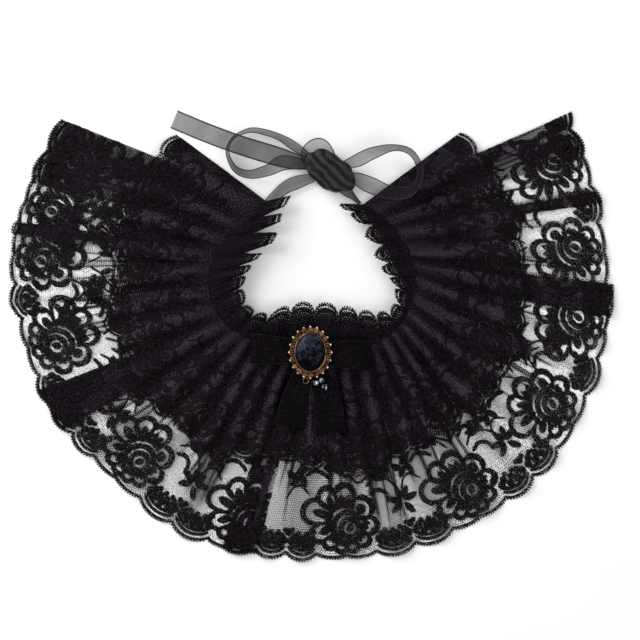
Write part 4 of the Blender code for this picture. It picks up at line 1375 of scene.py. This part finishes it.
# Ribbons.
def ribbon_frame(rows, columns, across=None):
    """The middle, side and wall directions and width of a ribbon at evenly spaced places."""
    rows = resample(rows, columns)
    centre = rows[:, :3]
    run = unit(np.gradient(centre, axis=0))
    if across is None:
        level = unit(np.cross((0.0, 0.0, 1.0), run))
        lean = np.radians(rows[:, 3])[:, None]
        side = level * np.cos(lean) + np.cross(run, level) * np.sin(lean)
    else:
        side = np.tile(unit(np.asarray(across, float)), (columns, 1))
    return centre, side, unit(np.cross(run, side)), rows[:, 4]


def ribbon_sheet(name, rows, columns, mat, full, across=None, strips=14, crimp=0.6, thick=0.0):
    """A ribbon as a fine sheet, crimped into small pleats where it narrows."""
    centre, side, wall, width = ribbon_frame(rows, columns, across)
    t = np.linspace(-0.5, 0.5, strips + 1)
    narrow = np.clip(1 - width / full, 0, 1) ** 0.8
    wave = np.cos(2 * math.pi * CRIMP_PLEATS * t)[None, :] * (crimp * narrow)[:, None]
    middle = (centre[:, None] + side[:, None] * (width[:, None] * t[None, :])[..., None]
              + wall[:, None] * wave[..., None])
    length = added_up(np.linalg.norm(np.diff(centre, axis=0), axis=1))
    uv = np.stack(np.broadcast_arrays(t[None, :] * full, length[:, None]), -1).reshape(-1, 2) * MM
    standing = 1 - np.abs(wall[:, 2])
    bunch = ORGANZA_DENSE + ORGANZA_CRIMPED * narrow + ORGANZA_STANDING * standing
    bunch = np.clip(bunch, 0, ORGANZA_MOST)[:, None]
    rim = smoothstep((np.abs(t) - ORGANZA_RIM["from"]) / ORGANZA_RIM["over"])
    packed = bunch + (1 - bunch) * ORGANZA_RIM["dense"] * rim[None, :]
    if thick:
        up = middle + wall[:, None] * thick / 2
        down = middle - wall[:, None] * thick / 2
        around = np.concatenate((up, down[:, ::-1]), axis=1)
        corners = around.shape[1]
        points = around.reshape(-1, 3)
        faces = tube_faces(columns, corners)
        grid = uv.reshape(columns, strips + 1, 2)
        uv = np.concatenate((grid, grid[:, ::-1]), axis=1).reshape(-1, 2)
        packed = np.concatenate((packed, packed[:, ::-1]), axis=1)
    else:
        points = middle.reshape(-1, 3)
        faces = grid_faces(columns, strips + 1)
    obj = make_mesh(name, points, faces, mat, uv=uv, values={"dense": packed.ravel()})
    return obj, middle, float(length[-1])


def tube(name, lines, radius, mat):
    """Thin cords along lines of points, in one mesh."""
    cords = Parts()
    ring = round_angles(CORD_SIDES)
    for line in lines:
        line = np.asarray(line, float)
        run = unit(np.gradient(line, axis=0))
        up = np.tile((0.0, 0.0, 1.0), (len(line), 1))
        up[np.abs(run[:, 2]) > 0.9] = (1.0, 0.0, 0.0)
        side = unit(np.cross(run, up))
        lift = np.cross(side, run)
        around = (line[:, None] + side[:, None] * (np.cos(ring) * radius)[None, :, None]
                  + lift[:, None] * (np.sin(ring) * radius)[None, :, None])
        cords.add(around.reshape(-1, 3), tube_faces(len(line), CORD_SIDES))
    return cords.mesh(name, mat)


def finish_ribbon(cloth, node, middle, radius, mat):
    """Puts a ribbon in place of its solid, and makes the cords along its edges."""
    edges = tube(node + "_edges", [middle[:, 0], middle[:, -1]], radius, mat)
    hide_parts(node)
    return edges


def make_tie():
    organza = organza_finish()
    selvedge = plain_thread("organza_edge", (0.010, 0.008, 0.010), 0.5, 300.0, 0.25)
    for name, table in TIE.items():
        ends = {"returns": []}
        for end in ("leaves", "returns"):
            if end in table:
                bearing, level, past, lean = table[end]
                ends[end] = [(*at_knot(bearing, level, past - PINCH_IN), lean, PINCH_WIDTH)]
        rows = list(zip(*(table[key] for key in ("x", "y", "z", "lean", "width"))))
        rows = ends["leaves"] + rows + ends["returns"]
        cloth, middle, length = ribbon_sheet(name + "_cloth", rows, 20 * len(rows), organza,
                                             TIE_WIDTH)
        edges = finish_ribbon(cloth, name, middle, TIE_CORD, selvedge)


def make_tie_knot():
    """The knot: an oval lump of drawn-in organza with its wrapping folds, with shade painted in
    their creases.
    """
    made = Finish("organza_packed", (0.010, 0.009, 0.010), 0.45, Sheen_Weight=0.03,
                  Specular_IOR_Level=0.2)
    pleats = made.stripes(made.place(), "DIAGONAL", 62.0, 4.0, Detail_Scale=1.3)
    crumple = made.math("ADD", made.math("MULTIPLY", made.noise(900.0, 4.0), 1.3), -0.15)
    folds = made.math("MULTIPLY", pleats, crumple)
    # Painted shade: the colour follows the pleats' relief, dark in the creases and lighter on the
    # ridges.
    made.ramp(folds, (0.0012, 0.0009, 0.0013), (0.048, 0.038, 0.050), 0.12, 0.75)
    made.bump(folds, 0.3)
    rings = 48
    sides = 160
    level = KNOT["high"] * (1 - np.cos(np.linspace(0, math.pi, rings))) / 2
    level = np.clip(level, 0.15, KNOT["high"] - 0.15)
    bearing = np.linspace(0, 360, sides, endpoint=False)
    points = np.array([[at_knot(b, z) for b in bearing] for z in level])
    turn = math.radians(KNOT["turn"])
    x = points[..., 0] - KNOT["x"]
    y = points[..., 1] - KNOT["y"]
    across = x * math.cos(turn) + y * math.sin(turn)
    up = y * math.cos(turn) - x * math.sin(turn)
    crease = sum(np.abs(np.sin(across * near_x + up * near_y + shift)) * deep
                 for near_x, near_y, shift, deep in KNOT_CREASES)
    crease = crease + KNOT_FLARE * np.abs(across)
    turn = math.radians(KNOT_DRAWN["turn"])
    across = across * KNOT_DRAWN["long"]
    up = up * KNOT_DRAWN["wide"]
    points[..., 0] = KNOT["x"] + across * math.cos(turn) - up * math.sin(turn)
    points[..., 1] = KNOT["y"] + across * math.sin(turn) + up * math.cos(turn)
    away = unit(points - np.array((KNOT["x"], KNOT["y"], KNOT["high"] / 2)))
    points = points + away * (crease - 0.4)[..., None] * (1.0, 1.0, 0.4)
    points[..., 2] = np.clip(points[..., 2], 0.05, None)
    obj = make_mesh("tie_knot_cloth", points.reshape(-1, 3), tube_faces(rings, sides), made.mat)
    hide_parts("tie_knot")


def make_bow():
    velvet = velvet_finish()
    piping = plain_thread("bow_edge", (0.0045, 0.0036, 0.0046), 0.6, 60.0, 0.12)
    low = BOW_BASE + CLOTH / 2
    foot = BOW_Y - BOW_KNOT["half_y"] - BOW_TAIL_START
    ribbons = {}
    for name, side in (("bow_loop_left", -1), ("bow_loop_right", 1)):
        direction = unit(np.array((side, -side * BOW_TILT))) * BOW_LOOP_LENGTH
        rows = [(BOW_X + direction[0] * out, BOW_Y + direction[1] * out,
                 low + BOW_LOOP_HIGH * level, 0, width)
                for out, level, width in zip(*BOW_LOOP.values())]
        ribbons[name] = (rows, 120, (BOW_TILT, 1, 0))
    for name, table in BOW_TAILS.items():
        rows = [(BOW_X + x, foot + y, low + z, 0, width)
                for x, y, z, width in zip(*table.values())]
        ribbons[name] = (rows, 60, None)
    for name, (rows, columns, across) in ribbons.items():
        cloth, middle, length = ribbon_sheet(name + "_cloth", rows, columns, velvet, BOW_RIBBON,
                                             across, **BOW_SHEET)
        edges = finish_ribbon(cloth, name, middle, BOW_CORD, piping)
    make_bow_knot(velvet)


def make_bow_knot(velvet):
    """The wrap round the bow's middle, a rounded block with small creases."""
    power = BOW_KNOT["squareness"]
    rings = 26
    sides = 120
    points = []
    for k in range(rings):
        share = k / (rings - 1)
        level = BOW_BASE + BOW_KNOT["high"] * share
        puff = 0.90 + 0.10 * math.sin(math.pi * share)
        for s in range(sides):
            angle = 2 * math.pi * s / sides
            x = math.copysign(abs(math.cos(angle)) ** power, math.cos(angle))
            y = math.copysign(abs(math.sin(angle)) ** power, math.sin(angle))
            crease = BOW_KNOT["crease"] * abs(math.sin(x * BOW_KNOT["creases"]))
            points.append((BOW_X + BOW_KNOT["half_x"] * puff * x,
                           BOW_Y + (BOW_KNOT["half_y"] * puff - crease) * y, level))
    obj = make_mesh("bow_knot_cloth", points, tube_faces(rings, sides), velvet)
    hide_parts("bow_knot")


# The brooch.
def oval_point(angle, half_x, half_y, level):
    return (BOW_X + half_x * math.cos(angle), BOW_Y + half_y * math.sin(angle),
            BROOCH_BASE + level)


def round_stone(angle, out, level, out_y=None):
    """A point this far outside the stone."""
    out_y = out if out_y is None else out_y
    return oval_point(angle, STONE_HALF_X + out, STONE_HALF_Y + out_y, level)


def balls(name, places, mat):
    """Balls at places, each with its radius, in one mesh."""
    made = Parts()
    for (x, y, z), radius in places:
        points = []
        for r in range(BALL_RINGS + 1):
            tilt = math.pi * r / BALL_RINGS
            for s in range(BALL_SIDES):
                turn = 2 * math.pi * s / BALL_SIDES
                points.append((x + radius * math.sin(tilt) * math.cos(turn),
                               y + radius * math.sin(tilt) * math.sin(turn),
                               z - radius * math.cos(tilt)))
        made.add(points, grid_faces(BALL_RINGS + 1, BALL_SIDES, around=True))
    return made.mesh(name, mat)


def make_brooch():
    plate = bronze_finish("bronze_dark", (0.006, 0.0035, 0.002), (0.040, 0.021, 0.010), 0.55)
    bright = bronze_finish("bronze_rubbed", (0.055, 0.027, 0.012), (0.42, 0.25, 0.125), 0.32)
    # The tips' bronze has a lower roughness, which gives real gloss, and a far lighter colour,
    # which is a painted glint.
    painted_glint_bronze = bronze_finish("bronze_painted_glint", (0.30, 0.20, 0.13), (0.95, 0.82, 0.66), 0.2)
    bead = bead_finish()
    for name, mat in (("brooch_frame", plate), ("drop_ring", bright),
                      ("brooch_stone", crystal_finish()), ("drop_bead_1", bead),
                      ("drop_bead_2", bead), ("drop_bead_3", bead)):
        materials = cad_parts[name].data.materials
        materials.clear()
        materials.append(mat)
    wires = [[round_stone(a, **RIM_WIRE) for a in np.linspace(0, 2 * math.pi, 161)]]
    beads = []
    tips = []
    step = 2 * math.pi / BROOCH_LOBES
    for lobe in range(BROOCH_LOBES):
        angle = 2 * math.pi * lobe / BROOCH_LOBES
        arch = []
        for share in np.linspace(0, 1, 15):
            bend = math.sin(share * math.pi)
            here = angle + step * (share - 0.5) * (ARCH_SPAN[0] + ARCH_SPAN[1] * bend)
            arch.append(round_stone(here, *(foot + gain * bend
                                            for foot, gain in ARCH_WIRE.values())))
        wires.append(arch)
        wires.append([round_stone(angle, 2.2 + out, 3.5 - 0.16 * out)
                      for out in np.linspace(0, 3.2, 6)])
        tip = oval_point(angle, BROOCH_HALF_X - TIP_IN, BROOCH_HALF_Y - TIP_IN, 2.6)
        tips.append((tip, BALL_RADIUS["tip"]))
        bead_at = round_stone(angle + math.pi / BROOCH_LOBES, 4.6, 2.7, 4.8)
        beads.append((bead_at, BALL_RADIUS["bead"]))
    for k in range(GRAINS):
        grain = round_stone(2 * math.pi * k / GRAINS, 2.35, 3.7)
        beads.append((grain, BALL_RADIUS["grain"]))
    for obj in (tube("brooch_wires", wires, WIRE, bright), balls("brooch_beads", beads, bright),
                balls("brooch_tips", tips, painted_glint_bronze)):
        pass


# Floor, light and camera.
def make_stage():
    floor = Finish("floor_white", (0.93, 0.93, 0.93), 0.9, Specular_IOR_Level=0.1)
    mesh = bpy.data.meshes.new("floor")
    half = 2.5
    mesh.from_pydata([(-half, -half, 0), (half, -half, 0), (half, half, 0), (-half, half, 0)],
                     [], [(0, 1, 2, 3)])
    mesh.materials.append(floor.mat)
    obj = bpy.data.objects.new("floor", mesh)
    bpy.context.scene.collection.objects.link(obj)

    world = bpy.data.worlds.new("studio")
    world.use_nodes = True
    background = world.node_tree.nodes["Background"]
    background.inputs["Color"].default_value = (1.0, 1.0, 1.0, 1.0)
    background.inputs["Strength"].default_value = WORLD_LIGHT
    bpy.context.scene.world = world

    for name, (place, size, power) in LIGHTS.items():
        light = bpy.data.lights.new(name, "AREA")
        light.size = size
        light.energy = power
        lamp = bpy.data.objects.new(name, light)
        lamp.location = place
        aim = -np.array(place)
        aim /= np.linalg.norm(aim)
        lamp.rotation_euler = (math.acos(-aim[2]), 0.0, math.atan2(aim[1], aim[0]) - math.pi / 2)
        bpy.context.scene.collection.objects.link(lamp)


def make_camera():
    """Straight down on the collar, as it was photographed."""
    lens = 85.0
    sensor = 36.0
    view_width = 0.560
    middle_x = 0.00846
    middle_y = 0.01340
    data = bpy.data.cameras.new("camera")
    data.lens = lens
    data.sensor_width = sensor
    camera = bpy.data.objects.new("camera", data)
    camera.location = (middle_x, middle_y, view_width * lens / sensor)
    bpy.context.scene.collection.objects.link(camera)
    bpy.context.scene.camera = camera


make_camera()
make_lace()
make_tie_knot()
make_tie()
make_bow()
make_brooch()
make_stage()
bpy.context.scene.view_settings.view_transform = "Standard"
